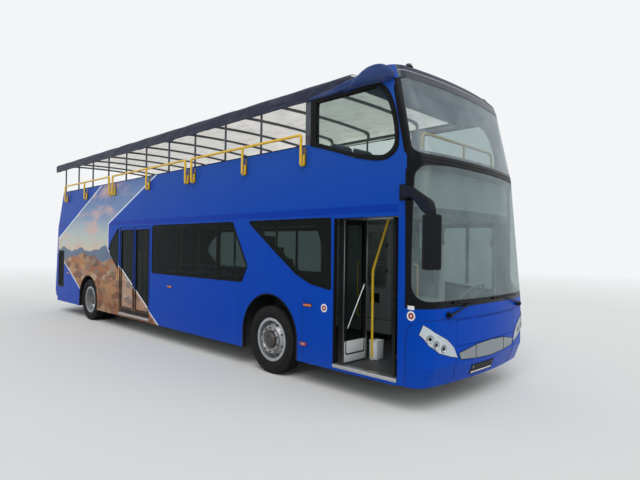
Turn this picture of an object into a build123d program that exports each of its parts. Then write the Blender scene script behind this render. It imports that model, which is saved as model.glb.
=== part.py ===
from build123d import *
from collections import namedtuple
import math
import os

# Open top double decker bus, in mm.
# While modelling, X runs forward from the front axle, Y to the bus's left and Z up from the ground.
# Every piece is moved at the end so that the origin lies on the ground under the middle of the bus.

# Overall sizes
body_width = 2500
wheelbase = 6650
mirror_reach = 3000
tail_reach = 9130
roof_height = 3945

# Levels of the body
sill_z = 290
floor_z = 360
window_foot = 1255
window_head = 2160
crease_z = 2200
deck_z = 2240
waist_z = 3120
# Drops from the top of the canopy to its hem, the side rail, the brow and the crown of the roof
hem_drop = 255
rail_drop = 225
brow_drop = 85
crown_drop = 43
canopy_hem = roof_height - hem_drop
rail_z = roof_height - rail_drop
brow_z = roof_height - brow_drop
crown_z = roof_height - crown_drop

# Sheet and wall thicknesses
wall = 60
mask_wall = 40
pillar_wall = 70
glass_wall = 8
pane_wall = 6
canopy_wall = 12
floor_wall = 40
deck_wall = 60

# Clearances
seat_gap = 0.3
soft_gap = 0.6
lid_gap = 6
leaf_gap = 16
leaf_meeting_gap = 16

# Worked out once for all pieces
half = body_width / 2
inner_half = half - wall
centre_shift = (tail_reach - mirror_reach) / 2

# Nose and tail profiles: height, reach from the front axle
nose_rows = [(300, 2600), (520, 2680), (1100, 2680), (2760, 2530), (rail_z, 2310), (brow_z, 2255)]
tail_rows = [(400, 9050), (550, tail_reach), (2200, 9010), (waist_z, 8640)]
End = namedtuple("End", "rows bow corner way")
nose = End(nose_rows, 6500, 200, 1)
tail = End(tail_rows, 8000, 150, -1)


def reach_at(end, z):
    rows = end.rows
    for low, high in zip(rows, rows[1:]):
        if z <= high[0] or high is rows[-1]:
            return low[1] + (high[1] - low[1]) * (z - low[0]) / (high[0] - low[0])


def corner_start(end, z):
    # Where the flat side ends and the corner's arc begins
    return reach_at(end, z) - end.bow + math.sqrt((end.bow - end.corner) ** 2 - (half - end.corner) ** 2)


# Where the flat sides stop and the nose and tail pieces start
nose_seam = 2205
deck_seam = 2245
brow_seam = 2045
roof_seam = corner_start(nose, brow_z) - 10
tail_seam = 8770
tail_top_seam = 8400
divider_z = 2760


def block(x0, x1, y0, y1, z0, z1):
    return Pos((x0 + x1) / 2, (y0 + y1) / 2, (z0 + z1) / 2) * Box(x1 - x0, y1 - y0, z1 - z0)


def rod(start, end, radius):
    axis = Vector(*end) - Vector(*start)
    plane = Plane(origin=start, z_dir=axis)
    return extrude(plane * Circle(radius), amount=axis.length)


def shape(points, radius=0):
    line = FilletPolyline(*points, radius=radius, close=True) if radius else Polyline(*points, close=True)
    return make_face(line)


def side_prism(points, y0, y1, radius=0, grow=0):
    # An outline in X and Z, run across the bus from y0 to y1
    face = shape(points, radius)
    if grow:
        face = offset(face, amount=grow)
    plane = Plane(origin=(0, y1, 0), x_dir=(1, 0, 0), z_dir=(0, -1, 0))
    return extrude(plane * face, amount=y1 - y0)


def front_prism(points, x0, x1, radius=0, grow=0):
    # An outline in Y and Z, run along the bus from x0 to x1
    face = shape(points, radius)
    if grow:
        face = offset(face, amount=grow)
    plane = Plane(origin=(x0, 0, 0), x_dir=(0, 1, 0), z_dir=(1, 0, 0))
    return extrude(plane * face, amount=x1 - x0)


def group(pieces):
    return Compound([solid for piece in pieces for solid in piece.solids()])


def both_sides(piece):
    return piece + mirror(piece, about=Plane.XZ)


def end_section(end, z, inset, back):
    # A level slice through the nose or tail: two sides, two corner arcs and one wide bow
    bow_x = reach_at(end, z) - end.bow
    corner_y = half - end.corner
    corner_x = bow_x + math.sqrt((end.bow - end.corner) ** 2 - corner_y ** 2)
    turn = math.atan2(corner_y, corner_x - bow_x)
    radius = end.corner - inset
    wide = end.bow - inset
    middle = (turn + math.pi / 2) / 2
    side = half - inset
    meet = (bow_x + wide * math.cos(turn), wide * math.sin(turn))
    knee = (corner_x + radius * math.cos(middle), corner_y + radius * math.sin(middle))

    def at(x, y):
        return (end.way * x, y, z)

    edges = [Line(at(back, -side), at(corner_x, -side)),
             ThreePointArc(at(corner_x, -side), at(knee[0], -knee[1]), at(meet[0], -meet[1])),
             ThreePointArc(at(meet[0], -meet[1]), at(bow_x + wide, 0), at(*meet)),
             ThreePointArc(at(*meet), at(*knee), at(corner_x, side)),
             Line(at(corner_x, side), at(back, side)),
             Line(at(back, side), at(back, -side))]
    return make_face(edges)


def end_solid(end, z0, z1, back, inset=0):
    # Each storey is one section run up along the lean of the profile; back gives the seam at a height
    levels = [z0] + [row[0] for row in end.rows if z0 < row[0] < z1] + [z1]
    deep = min(back(z) for z in levels) - 400
    solid = None
    for low, high in zip(levels, levels[1:]):
        lean = Vector(end.way * (reach_at(end, high) - reach_at(end, low)), 0, high - low)
        storey = extrude(end_section(end, low, inset, deep), amount=lean.length, dir=lean)
        solid = storey if solid is None else solid + storey
    breaks = sorted(set(levels + [z for z in (crease_z, divider_z) if z0 < z < z1]))
    far = end.rows[1][1] + 100
    seam = [(end.way * back(z), z) for z in breaks]
    zone = side_prism(seam + [(end.way * far, z1), (end.way * far, z0)], -half - 30, half + 30)
    return solid & zone


def end_shell(end, z0, z1, back, inset, thick):
    def further(z):
        return back(z) - thick
    return end_solid(end, z0, z1, back, inset) - end_solid(end, z0, z1, further, inset + thick)


def mask_back(z):
    return nose_seam


def deck_back(z):
    if z <= divider_z:
        return deck_seam
    return deck_seam + (brow_seam - deck_seam) * (z - divider_z) / (rail_z - divider_z)


def brow_back(z):
    return roof_seam


def tail_back(z):
    if z <= crease_z:
        return tail_seam
    return tail_seam + (tail_top_seam - tail_seam) * (z - crease_z) / (waist_z - crease_z)


# Wheels and axles
tyre_radius = 478.5
tyre_width = 276
rim_radius = 286
rim_width = 214
track_half = 1087
twin_spacing = 310
kingpin_half = 980
kingpin_radius = 20
stub_radius = 35
axle_end_radius = 60
bearing_gap = 0.3
hand_holes = 8
front_arch = (590, 1120)
rear_arch = (535, 1040)
wheel_box_half = 640
wheel_box_inner = 620
wheel_box_top = 1150


def ring(profile):
    # Turns an outline of radius and depth about the wheel's axle
    return revolve(shape(profile), axis=Axis.Y)


def tyre():
    bead = rim_radius + 1
    side = tyre_width / 2
    tread = 105
    profile = [Line((bead, -95), (310, -95)), ThreePointArc((310, -95), (385, -side), (448, -122)),
               Line((448, -122), (tyre_radius, -tread)), Line((tyre_radius, -tread), (tyre_radius, tread)),
               Line((tyre_radius, tread), (448, 122)), ThreePointArc((448, 122), (385, side), (310, 95)),
               Line((310, 95), (bead, 95)), Line((bead, 95), (bead, -95))]
    return revolve(make_face(profile), axis=Axis.Y)


def rim_barrel():
    lip = rim_width / 2
    return ring([(266, -lip), (304, -lip), (304, -95.3), (rim_radius, -95.3), (rim_radius, 95.3), (304, 95.3),
                 (304, lip), (266, lip)])


def disc(face_radius, face_y, foot_y):
    # A dished wheel disc from the barrel at foot_y to the bolted face at face_y, with hand holes
    thick = 14
    plate = ring([(270, foot_y), (270, foot_y + thick + 4), (face_radius + 8, face_y + thick), (90, face_y + thick),
                  (90, face_y), (face_radius, face_y)])
    hole = rod((225, min(face_y, foot_y) - 80, 0), (225, max(face_y, foot_y) + 80, 0), 24)
    for i in range(hand_holes):
        plate = plate - Rot(0, 360 * (i + 0.5) / hand_holes, 0) * hole
    return plate


def front_rim():
    hub = ring([(stub_radius + bearing_gap, -20), (105, -20), (105, 122), (72, 150), (0, 150), (0, 128),
                (stub_radius + bearing_gap, 128)])
    nut_ring = ring([(150, 100), (184, 100), (184, 128), (150, 128)])
    return rim_barrel() + disc(178, 90, -6) + hub + nut_ring


def rear_rims():
    # Both rims of one side on their hub, about the middle of the pair
    half_pair = twin_spacing / 2
    outer = Pos(0, half_pair, 0) * rim_barrel() + disc(178, 8, half_pair - 40)
    inner = mirror(outer, about=Plane.XZ)
    hub = ring([(axle_end_radius + bearing_gap, -120), (125, -120), (125, 190), (95, 225), (0, 225), (0, 160),
                (axle_end_radius + bearing_gap, 160)])
    web = ring([(120, -10), (184, -10), (184, 10), (120, 10)])
    return outer + inner + hub + web


def place_wheel(piece, x, y, side):
    piece = piece if side > 0 else mirror(piece, about=Plane.XZ)
    return Pos(x, side * y, tyre_radius) * piece


knuckle_eye = 62


def front_axle():
    # A dropped beam: low under the aisle, rising inboard of the wheels to the kingpin eyes
    beam = [(0, 120), (640, 120), (890, 300), (890, 425), (kingpin_half, 425), (kingpin_half, 531), (835, 531),
            (835, 330), (620, 196), (0, 196)]
    right = front_prism([(-y, z) for y, z in beam], -55, 55)
    eye = Pos(0, -kingpin_half, tyre_radius) * Cylinder(48, 2 * (knuckle_eye - 9))
    eye_hole = Pos(0, -kingpin_half, tyre_radius) * Cylinder(kingpin_radius + bearing_gap, 300)
    one = right + eye - eye_hole
    saddle = block(-55, 55, -frame_y - frame_wide, -frame_y, 196, frame_low)
    return both_sides(one + saddle)


def knuckle():
    # Two lugs on a kingpin, a plate outboard of the eye, and the stub axle that the hub turns on
    lug = Cylinder(48, 30) + Pos(0, -35, 0) * Box(96, 70, 30)
    lugs = Pos(0, 0, knuckle_eye + 8) * lug + Pos(0, 0, -knuckle_eye - 8) * lug
    plate = block(-48, 48, -80, -60, -knuckle_eye - 23, knuckle_eye + 23)
    pin = Cylinder(kingpin_radius, 2 * knuckle_eye + 46)
    stub = rod((0, -70, 0), (0, -(track_half - kingpin_half) - 118, 0), stub_radius)
    return Pos(0, -kingpin_half, tyre_radius) * (lugs + plate + pin + stub)


def rear_axle():
    tube = rod((0, -760, tyre_radius), (0, 760, tyre_radius), 78)
    ends = rod((0, -1080, tyre_radius), (0, 1080, tyre_radius), axle_end_radius)
    casing = Pos(0, 0, tyre_radius) * Cylinder(190, 200, rotation=(90, 0, 0))
    nose_drive = rod((-60, 0, tyre_radius), (330, 0, tyre_radius), 85)
    spring_top = frame_rear_low
    spring = Pos(0, frame_y + frame_wide / 2, (spring_top + 540) / 2) * Cylinder(85, spring_top - 540)
    axle = tube + ends + casing + nose_drive + both_sides(spring)
    return Pos(-wheelbase, 0, 0) * axle


# Chassis: two rails, low under the saloon and raised over the rear axle
frame_y = 450
frame_wide = 70
frame_low = 200
frame_rear_low = 720
frame_rear_top = 860
frame_step = 1150 - wheelbase
frame_rear = 280 - tail_reach
frame_front = 2380
jack_x = -1500
jack_half = 60
jack_depth = 20


def chassis():
    rise = frame_step - 90
    side = [(frame_front, frame_low), (frame_front, floor_z - floor_wall), (frame_step, floor_z - floor_wall),
            (frame_step, frame_rear_top), (frame_rear, frame_rear_top), (frame_rear, frame_rear_low),
            (rise, frame_rear_low), (rise, frame_low)]
    rails = both_sides(side_prism(side, frame_y, frame_y + frame_wide))
    frame = rails
    for x in (2300, 1300, 700, -900, -2100, -3300, -4500, frame_step + 100):
        frame = frame + block(x, x + 70, -frame_y, frame_y, frame_low + 10, floor_z - floor_wall)
    for x in (850 - wheelbase, -wheelbase - 630, frame_rear + 50):
        frame = frame + block(x, x + 70, -frame_y, frame_y, frame_rear_low + 10, frame_rear_top)
    # Outriggers carry the sills and the tail
    for x in (1750, 760, -900, -2100, -3300, -4500):
        for side_y in (1, -1):
            ends = sorted([side_y * (frame_y + frame_wide), side_y * inner_half])
            frame = frame + block(x, x + 60, ends[0], ends[1], floor_z - floor_wall - 60, floor_z - floor_wall)
    for x in (frame_step - 70, -wheelbase - 650, frame_rear + 150):
        for side_y in (1, -1):
            ends = sorted([side_y * (frame_y + frame_wide), side_y * inner_half])
            frame = frame + block(x, x + 60, ends[0], ends[1], frame_rear_top - 60, frame_rear_top)
    eye_hole = rod((frame_front - 20, 0, 260), (frame_front + 200, 0, 260), 20)
    eye = block(frame_front - 20, frame_front + 60, -45, 45, 215, 305)
    link = block(2300, frame_front, -60, 60, frame_low + 10, floor_z - floor_wall)
    pad = block(jack_x - jack_half, jack_x + jack_half, frame_y, frame_y + frame_wide, frame_low - jack_depth, frame_low)
    return frame + both_sides(pad) + link + eye - eye_hole


# Doors, in the right-hand wall: rear edge, front edge
front_door = (1240, nose_seam)
rear_door = (-4950, -3570)
door_foot = floor_z
door_head = 2150
leaf_wall = 40
leaf_inset = 6
leaf_frame = 55

# Window outlines in X and Z
nose_window = [(-510, 2160), (1185, 2160), (1200, 1262), (830, 1320), (560, 1430), (120, 1720)]
long_window = [(-3500, window_head), (-890, window_head), (-500, 1500), (-640, window_foot), (-3500, window_foot)]
tail_window = [(-5010, 2150), (-5010, 1250), (-5440, 1580), (-5500, 1680), (-5400, 1860)]
door_side_window = [(-4930, window_head), (-3620, window_head), (-3620, window_foot), (-4930, window_foot)]
cab_window = [(1270, window_head), (2150, window_head), (2150, 1150), (1270, 1240)]
deck_window = [(900, 3100), (1550, 2865), (1990, 2792), (2165, 2900), (2165, 3080), (2070, 3390),
               (1960, rail_z - 130), (1840, rail_z - 55), (900, rail_z - 55)]
# Columns: outline, corner radius
right_windows = [(nose_window, 22), (long_window, 60), (tail_window, 30)]
left_windows = [(nose_window, 22), (long_window, 60), (tail_window, 30), (door_side_window, 60), (cab_window, 60)]
grille = (-8740, -8310, 660, 1610)


def arch(middle, half_length, top, low_y, high_y, grow=0):
    centre = (middle, (low_y + high_y) / 2, top - half_length)
    radius = half_length + grow
    drum = Pos(*centre) * Cylinder(radius, high_y - low_y, rotation=(90, 0, 0))
    return drum + block(middle - radius, middle + radius, low_y, high_y, sill_z - 1 - grow, top - half_length)


def lower_wall(side):
    panel = block(-tail_seam, nose_seam, inner_half, half, sill_z, crease_z)
    panel = panel - arch(0, *front_arch, inner_half - 1, half + 1)
    # The rear arch has a liner that reaches in over the twin wheels
    length, top = rear_arch
    liner = arch(-wheelbase, length, top, inner_half - 560, half, 12)
    panel = panel + liner - arch(-wheelbase, length, top, inner_half - 561, half + 1)
    panel = panel - block(-wheelbase - 700, -wheelbase + 700, 0, half, -100, sill_z)
    windows = right_windows if side < 0 else left_windows
    for points, radius in windows:
        panel = panel - side_prism(points, inner_half - 1, half + 1, radius)
    if side < 0:
        panel = panel - block(front_door[0], front_door[1] + 1, inner_half - 1, half + 1, door_foot, door_head)
        panel = panel - block(rear_door[0], rear_door[1], inner_half - 1, half + 1, door_foot, door_head)
        panel = panel - block(grille[0], grille[1], inner_half - 1, half + 1, grille[2], grille[3])
    else:
        panel = panel - block(grille[0], grille[1], inner_half - 1, half + 1, grille[2], grille[3])
    return panel if side > 0 else mirror(panel, about=Plane.XZ)


def upper_wall():
    raised = 860
    outline = [(-tail_seam, crease_z), (-tail_top_seam, waist_z), (raised, waist_z), (raised, rail_z),
               (brow_seam, rail_z), (deck_seam, divider_z), (deck_seam, crease_z)]
    panel = side_prism(outline, inner_half, half)
    return panel - side_prism(deck_window, inner_half - 1, half + 1, 60)


def pane(points, radius):
    return side_prism(points, half - pane_wall - 2, half - 2, radius, grow=-seat_gap)


def side_glass():
    right = [mirror(pane(points, radius), about=Plane.XZ) for points, radius in right_windows]
    left = [pane(points, radius) for points, radius in left_windows]
    return group(right + left)


def deck_glass():
    one = pane(deck_window, 60)
    return group([one, mirror(one, about=Plane.XZ)])


# Front end: lamp, trim and flap outlines in Y and Z
lamp_outline = [(-1215, 985), (-1235, 880), (-1170, 765), (-1040, 675), (-840, 615), (-722, 592), (-790, 712),
                (-900, 805), (-1110, 905)]
trim_outline = [(0, 712), (330, 700), (700, 640), (660, 565), (330, 540), (0, 530), (-330, 540), (-660, 565),
                (-700, 640), (-330, 700)]
flap_half = 740
hinge_half = 60
flap_foot = 720
flap_head = 1000
mask_top = 1100
lower_glass = [(2300, 1150), (2900, 1150), (2900, 2735), (2285, 2735)]
lower_hole = [(2345, 1215), (2900, 1215), (2900, 2670), (2330, 2670)]
upper_glass = [(2275, 2795), (2900, 2795), (2900, rail_z - 20), (2085, rail_z - 20)]
upper_hole = [(2300, 2870), (2900, 2870), (2900, rail_z - 90), (2135, rail_z - 90)]


def front_mask():
    mask = end_shell(nose, 300, mask_top, mask_back, 0, mask_wall)
    mask = mask - block(2300, 2800, -flap_half, flap_half, flap_foot - lid_gap, flap_head + lid_gap)
    lamp_hole = front_prism(lamp_outline, 2210, 2800, grow=seat_gap)
    return mask - both_sides(lamp_hole)


def headlamps():
    skin = end_solid(nose, 520, mask_top, mask_back, -4) - end_solid(nose, 520, mask_top, mask_back, mask_wall)
    one = skin & front_prism(lamp_outline, 2210, 2800)
    return group([one, mirror(one, about=Plane.XZ)])


def front_flap():
    shell = end_shell(nose, 520, mask_top, mask_back, 0, mask_wall)
    zone = block(2300, 2800, -flap_half + lid_gap, flap_half - lid_gap, flap_foot, flap_head)
    for y in (-400, 400):
        zone = zone + block(2300, 2800, y - hinge_half, y + hinge_half, flap_foot, flap_head + lid_gap - seat_gap)
    return shell & zone


def front_trim():
    skin = end_solid(nose, 520, mask_top, mask_back, -7) - end_solid(nose, 520, mask_top, mask_back, -seat_gap)
    return skin & front_prism(trim_outline, 2400, 2800)


def front_frame():
    lower = end_shell(nose, mask_top, crease_z, mask_back, 0, pillar_wall)
    upper = end_shell(nose, crease_z, rail_z, deck_back, 0, pillar_wall)
    frame = lower + upper
    frame = frame - side_prism(lower_hole, -half, half, 90) - side_prism(upper_hole, -half, half, 60)
    return frame - glass_sheet(lower_glass, -5, seat_gap) - glass_sheet(upper_glass, -5, seat_gap)


def glass_sheet(points, skin=0, grow=0):
    # The glass follows the nose and wraps round both corners; with a negative skin it cuts its own rebate
    zone = side_prism(points, -half - 20, half + 20, 110, grow=grow)
    foot = mask_top - 50
    inner = end_solid(nose, foot, rail_z, hollow_back, glass_wall + grow)
    return (end_solid(nose, foot, rail_z, sheet_back, skin) - inner) & zone


def sheet_back(z):
    return roof_seam - 40


def hollow_back(z):
    return roof_seam - 60


def front_roof():
    skirt = end_solid(nose, rail_z, brow_z, brow_back)
    deep = roof_seam - 200
    crown = loft([end_section(nose, brow_z, 0, deep), end_section(nose, crown_z, 90, deep)], ruled=True)
    crown = crown & block(roof_seam, 2400, -half, half, brow_z, crown_z)
    hollow = end_solid(nose, rail_z, brow_z - 30, hollow_back, 60)
    return skirt + crown - hollow


# Canopy: its section across the bus is two straight sides, two shoulders and a crown
canopy_half = 1275
canopy_front = 1475
canopy_rear = 130 - tail_reach


def canopy_face(inset):
    side = canopy_half - inset
    shoulder = canopy_hem + 140
    top = roof_height - inset
    flat = roof_height - 40 - inset
    turn = roof_height - 62 - inset
    hem = canopy_hem
    edges = [Line((-side, hem), (-side, shoulder)),
             ThreePointArc((-side, shoulder), (-side + 24, turn), (-side + 85, flat)),
             ThreePointArc((-side + 85, flat), (0, top), (side - 85, flat)),
             ThreePointArc((side - 85, flat), (side - 24, turn), (side, shoulder)),
             Line((side, shoulder), (side, hem)), Line((side, hem), (-side, hem))]
    return make_face(edges)


def across(face, x0, x1):
    plane = Plane(origin=(x0, 0, 0), x_dir=(0, 1, 0), z_dir=(1, 0, 0))
    return extrude(plane * face, amount=x1 - x0)


def canopy():
    return across(canopy_face(0), canopy_rear, canopy_front) - across(canopy_face(canopy_wall), canopy_rear - 1,
                                                                     canopy_front + 1)


post_pitch = 900
post_count = 9
post_first = -260
post_radius = 17
side_rail = 40


def canopy_frame():
    # Side rails on posts, and bows across; each is a piece of its own, seated on the next
    low = inner_half + 5
    high = half - 5
    pieces = [block(canopy_rear + 60, canopy_front - 5, low, high, rail_z, rail_z + side_rail)]
    pieces.append(block(700, 858, low, high, waist_z, rail_z - seat_gap))
    xs = [post_first - i * post_pitch for i in range(post_count)] + [canopy_rear + 630]
    tall = rail_z - seat_gap - waist_z
    for x in xs:
        pieces.append(Pos(x, (low + high) / 2, waist_z + tall / 2) * Cylinder(post_radius, tall))
    pieces += [mirror(piece, about=Plane.XZ) for piece in pieces]
    inset = canopy_wall + soft_gap
    foot = rail_z + side_rail + seat_gap
    for x in xs + [780, 1400, canopy_rear + 80]:
        bow = across(canopy_face(inset), x - 20, x + 20) - across(canopy_face(inset + 35), x - 21, x + 21)
        pieces.append(bow - block(x - 30, x + 30, -half - 60, half + 60, canopy_hem - 10, foot))
    return group(pieces)


roll_profile = [(1480, rail_z + soft_gap), (1690, roof_height - 79), (1880, roof_height - 42),
                (roof_seam - soft_gap, roof_height - 45), (roof_seam - soft_gap, rail_z + soft_gap)]
ear_profile = [(1480, rail_z - 5), (1690, roof_height - 79), (1900, roof_height - 45), (2030, roof_height - 70),
               (2160, roof_height - 140), (2205, roof_height - 200), (2160, canopy_hem), (1960, canopy_hem - 5)]


def canopy_roll():
    body = side_prism(roll_profile, -1280, 1280)
    ear = side_prism(ear_profile, half + 1, 1345, 12)
    return body + both_sides(ear)


# Decks
def lower_floor():
    # The floor plate, a box over each front wheel, the cab's platform and the bulkhead ahead of the rear axle
    low = floor_z - floor_wall
    slab = block(frame_step, nose_seam, -inner_half, inner_half, low, floor_z)
    slab = slab + end_solid(nose, low, floor_z, mask_back, mask_wall + seat_gap)
    sheet = 20
    reach = wheel_box_half
    side = wheel_box_inner - sheet
    notch = block(-reach - seat_gap, reach + seat_gap, side - seat_gap, inner_half + 1, low - 1, floor_z + 1)
    slab = slab - notch - mirror(notch, about=Plane.XZ)
    box = block(-reach, reach, side, inner_half, low, wheel_box_top)
    box = box - block(-reach + sheet, reach - sheet, wheel_box_inner, inner_half + 1, low - 1, wheel_box_top - sheet)
    top = floor_z + seat_gap
    platform = block(cab_back, 2300, cab_side, inner_half, top, cab_floor)
    bulkhead = block(frame_step, frame_step + 40, -inner_half, inner_half, top, crease_z - 20)
    return group([slab, box, mirror(box, about=Plane.XZ), platform, bulkhead])


cab_back = 1180
cab_side = 180
cab_floor = 560
stair_front = -1000
stair_rear = -3000
stair_inner = 560
stair_risers = 8


def upper_floor():
    def front(z):
        return nose_seam - 1

    def rear(z):
        return tail_seam - 60
    low = deck_z - deck_wall
    slab = block(-tail_seam + 60, nose_seam, -inner_half, inner_half, low, deck_z)
    slab = slab + end_solid(nose, low, deck_z, front, pillar_wall + 1)
    slab = slab + end_solid(tail, low, deck_z, rear, wall + 1)
    panel = end_shell(nose, deck_z, divider_z - 90, panel_back, pillar_wall + 5, 20)
    well = block(stair_rear, stair_front - 200, stair_inner - 20, inner_half - 30, low - 1, deck_z + 1)
    return slab + panel - well


def panel_back(z):
    return 2262


def stairs():
    rise = (deck_z - floor_z) / stair_risers
    tread = (stair_front - stair_rear) / (stair_risers - 1)
    points = [(stair_front, floor_z)]
    for i in range(stair_risers - 1):
        points.append((stair_front - i * tread, floor_z + (i + 1) * rise))
        points.append((stair_front - (i + 1) * tread, floor_z + (i + 1) * rise))
    points.append((stair_rear, floor_z + (stair_risers - 1) * rise - 90))
    points.append((stair_front - 1.2 * tread, floor_z))
    return side_prism(points, stair_inner, inner_half - 35)


def bench(width, height):
    # A double seat that faces forward: seat, leaning back and one pedestal
    profile = [(20, 385), (430, 405), (442, 452), (96, 438), (-34, height), (-82, height - 8), (8, 410)]
    shell = side_prism(profile, 0, width, 14)
    pedestal = block(130, 330, width / 2 - 60, width / 2 + 60, 0, 398)
    return shell + pedestal


bench_width = 840
lower_rows = [(-1450, -1), (-2200, -1), (-2950, -1), (-3950, 1), (-4650, 1), (-5320, 1)]
upper_first = 1150
upper_pitch = 750
upper_count = 13


def lower_seats():
    seats = []
    for x, side in lower_rows:
        y = -inner_half + 10 if side < 0 else inner_half - 10 - bench_width
        seats.append(Pos(x, y, floor_z) * bench(bench_width, 960))
    return group(seats)


def upper_seats():
    seats = []
    for i in range(upper_count):
        x = upper_first - i * upper_pitch
        over_well = x + 460 > stair_rear - 100 and x - 100 < stair_front - 100
        for side in (-1, 1):
            if side > 0 and over_well:
                continue
            y = -inner_half + 10 if side < 0 else inner_half - 10 - bench_width
            seats.append(Pos(x, y, deck_z) * bench(bench_width, 880))
    return group(seats)


def driver_seat():
    profile = [(0, 300), (470, 320), (485, 400), (110, 390), (-20, 1080), (-110, 1070), (-30, 330)]
    shell = side_prism(profile, 0, 500, 30)
    pedestal = block(80, 360, 110, 390, 0, 312)
    return Pos(1400, 420, cab_floor) * (shell + pedestal)


def dashboard():
    profile = [(2345, floor_z), (2450, floor_z), (2510, 1080), (2200, 1125), (2150, 1065), (2345, 940)]
    desk = side_prism(profile, -980, 980, 0)
    column = rod((2330, 670, 900), (2062, 670, 1146.5), 30)
    tilt = Plane(origin=(2060, 670, 1148), z_dir=(-250, 0, 230))
    wheel = tilt * Torus(225, 15) + tilt * Cylinder(60, 24) + tilt * Box(440, 26, 14)
    return desk + column + wheel


def cab_partition():
    back = block(cab_back, cab_back + 30, cab_side, inner_half, cab_floor, crease_z - 20)
    back = back - block(cab_back - 1, cab_back + 31, 300, 1100, 1250, 2050)
    door = block(cab_back + 30, 1930, cab_side, cab_side + 30, cab_floor, 1850)
    door = door - block(1300, 1860, cab_side - 1, cab_side + 31, 1120, 1780)
    return back + door


# Poles inside: x, y
pole_places = [(-820, -420), (-3480, -640), (-4300, 260), (-5040, -640)]


def grab_poles():
    poles = [rod((x, y, floor_z), (x, y, deck_z - deck_wall), 17) for x, y in pole_places]
    # The pole by the front door leans over to the ceiling at its top
    line = FilletPolyline((1420, -700, floor_z), (1420, -700, 1500), (1560, -560, deck_z - deck_wall), radius=180)
    bent = sweep(Plane(origin=(1420, -700, floor_z), z_dir=(0, 0, 1)) * Circle(17), path=line)
    bent = bent - block(1300, 1800, -900, -300, deck_z - deck_wall, deck_z + 100)
    return group(poles + [bent])


# Rails outside the waist: rear end, front end, posts
rail_rows = [(-2030, 740, (-2000, -570, 700)), (-5230, -2170, (-5200, -3640, -2200)),
             (-8150, -5340, (-8120, -6800, -5370))]
rail_out = 1325
rail_top = 3250
rail_foot = 2860
rail_radius = 19


def outer_rails():
    rails = []
    for rear, front, posts in rail_rows:
        bar = rod((rear, rail_out, rail_top), (front, rail_out, rail_top), rail_radius)
        for x in posts:
            bar = bar + rod((x, rail_out, rail_foot), (x, rail_out, rail_top), rail_radius)
            for z in (rail_foot + 50, waist_z - 60):
                bar = bar + rod((x, half, z), (x, rail_out, z), 15)
        rails.append(bar)
        rails.append(mirror(bar, about=Plane.XZ))
    return group(rails)


# Mirrors: the right one hangs ahead of the nose, the left one beside the cab
mirror_side = 1830
right_head = (2830, mirror_reach, -mirror_side, -1490, 1590, 2100)
left_head = (2020, 2130, 1590, mirror_side, 1500, 1960)


def head(box, radius):
    body = block(*box)
    body = fillet(body.edges().filter_by(Axis.Z), radius)
    return fillet(body.faces().sort_by(Axis.Z)[-1].edges() + body.faces().sort_by(Axis.Z)[0].edges(), radius * 0.7)


def mirrors():
    arm_line = FilletPolyline((2262, -1257, 2400), (2300, -1480, 2440), (2760, -1660, 2390), (2915, -1660, 2095),
                              radius=90)
    start = Vector(2300 - 2262, -1480 + 1257, 40)
    arm = sweep(Plane(origin=(2262, -1257, 2400), z_dir=start) * Circle(26), path=arm_line)
    foot = block(2215, 2330, -1262, -half, 2330, 2470)
    right = head(right_head, 40) + arm + foot
    left_arm = rod((2100, half, 1880), (2080, 1620, 1880), 20)
    left_foot = block(2060, 2140, half, half + 14, 1820, 1940)
    left = head(left_head, 35) + left_arm + left_foot
    return group([right, left])


def wipers():
    parts = []
    # Columns: pivot y, tip y
    for y, tip in ((-860, -150), (820, 110)):
        surface = 2680 - nose.bow + math.sqrt(nose.bow ** 2 - (abs(y) - 22) ** 2)
        pivot = (surface + 30, y, 1075)
        arm = rod(pivot, (2700, tip, 1250), 9)
        boss = rod((surface + seat_gap, y, 1075), (surface + 42, y, 1075), 22)
        parts.append(arm + boss)
    return group(parts)


# Tail
lid_half = 960
lid_foot = 560
lid_head = 1450
rear_window = (-900, 900, 1560, 2110)


def tail_zone(y0, y1, z0, z1):
    return block(-9400, -8600, y0, y1, z0, z1)


def rear_wall():
    panel = end_shell(tail, 400, waist_z, tail_back, 0, wall)
    panel = panel - tail_zone(-lid_half, lid_half, lid_foot - lid_gap, lid_head + lid_gap)
    return panel - tail_zone(*rear_window)


def engine_lid():
    shell = end_shell(tail, 550, 1500, tail_back, 0, mask_wall)
    zone = tail_zone(-lid_half + lid_gap, lid_half - lid_gap, lid_foot, lid_head)
    for y in (-550, 550):
        zone = zone + tail_zone(y - hinge_half, y + hinge_half, lid_foot, lid_head + lid_gap - seat_gap)
    lid = shell & zone
    for i in range(7):
        z = 1180 + 34 * i
        lid = lid - tail_zone(-500, 500, z, z + 16)
    return lid


def rear_glass():
    y0, y1, z0, z1 = rear_window
    skin = end_shell(tail, 1500, crease_z, tail_back, 2, pane_wall)
    window = skin & tail_zone(y0 + seat_gap, y1 - seat_gap, z0 + seat_gap, z1 - seat_gap)
    return window


slat_count = 16
grille_edge = 26


def louvres(x0, x1, z0, z1):
    # A framed grille with slats that lean out and down
    back_y = inner_half + 20
    frame = block(x0 + seat_gap, x1 - seat_gap, back_y, half, z0 + seat_gap, z1 - seat_gap)
    frame = frame - block(x0 + grille_edge, x1 - grille_edge, back_y - 1, half + 1, z0 + grille_edge, z1 - grille_edge)
    pitch = (z1 - z0 - 2 * grille_edge) / slat_count
    for i in range(slat_count):
        z = z0 + grille_edge + pitch * i
        slat = [(back_y + 4, z + pitch - 16), (half - 2, z + 4), (half - 2, z + 14), (back_y + 4, z + pitch - 6)]
        frame = frame + front_prism(slat, x0 + grille_edge - 6, x1 - grille_edge + 6)
    return frame


def engine_grilles():
    one = louvres(*grille)
    return group([one, mirror(one, about=Plane.XZ)])


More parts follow.
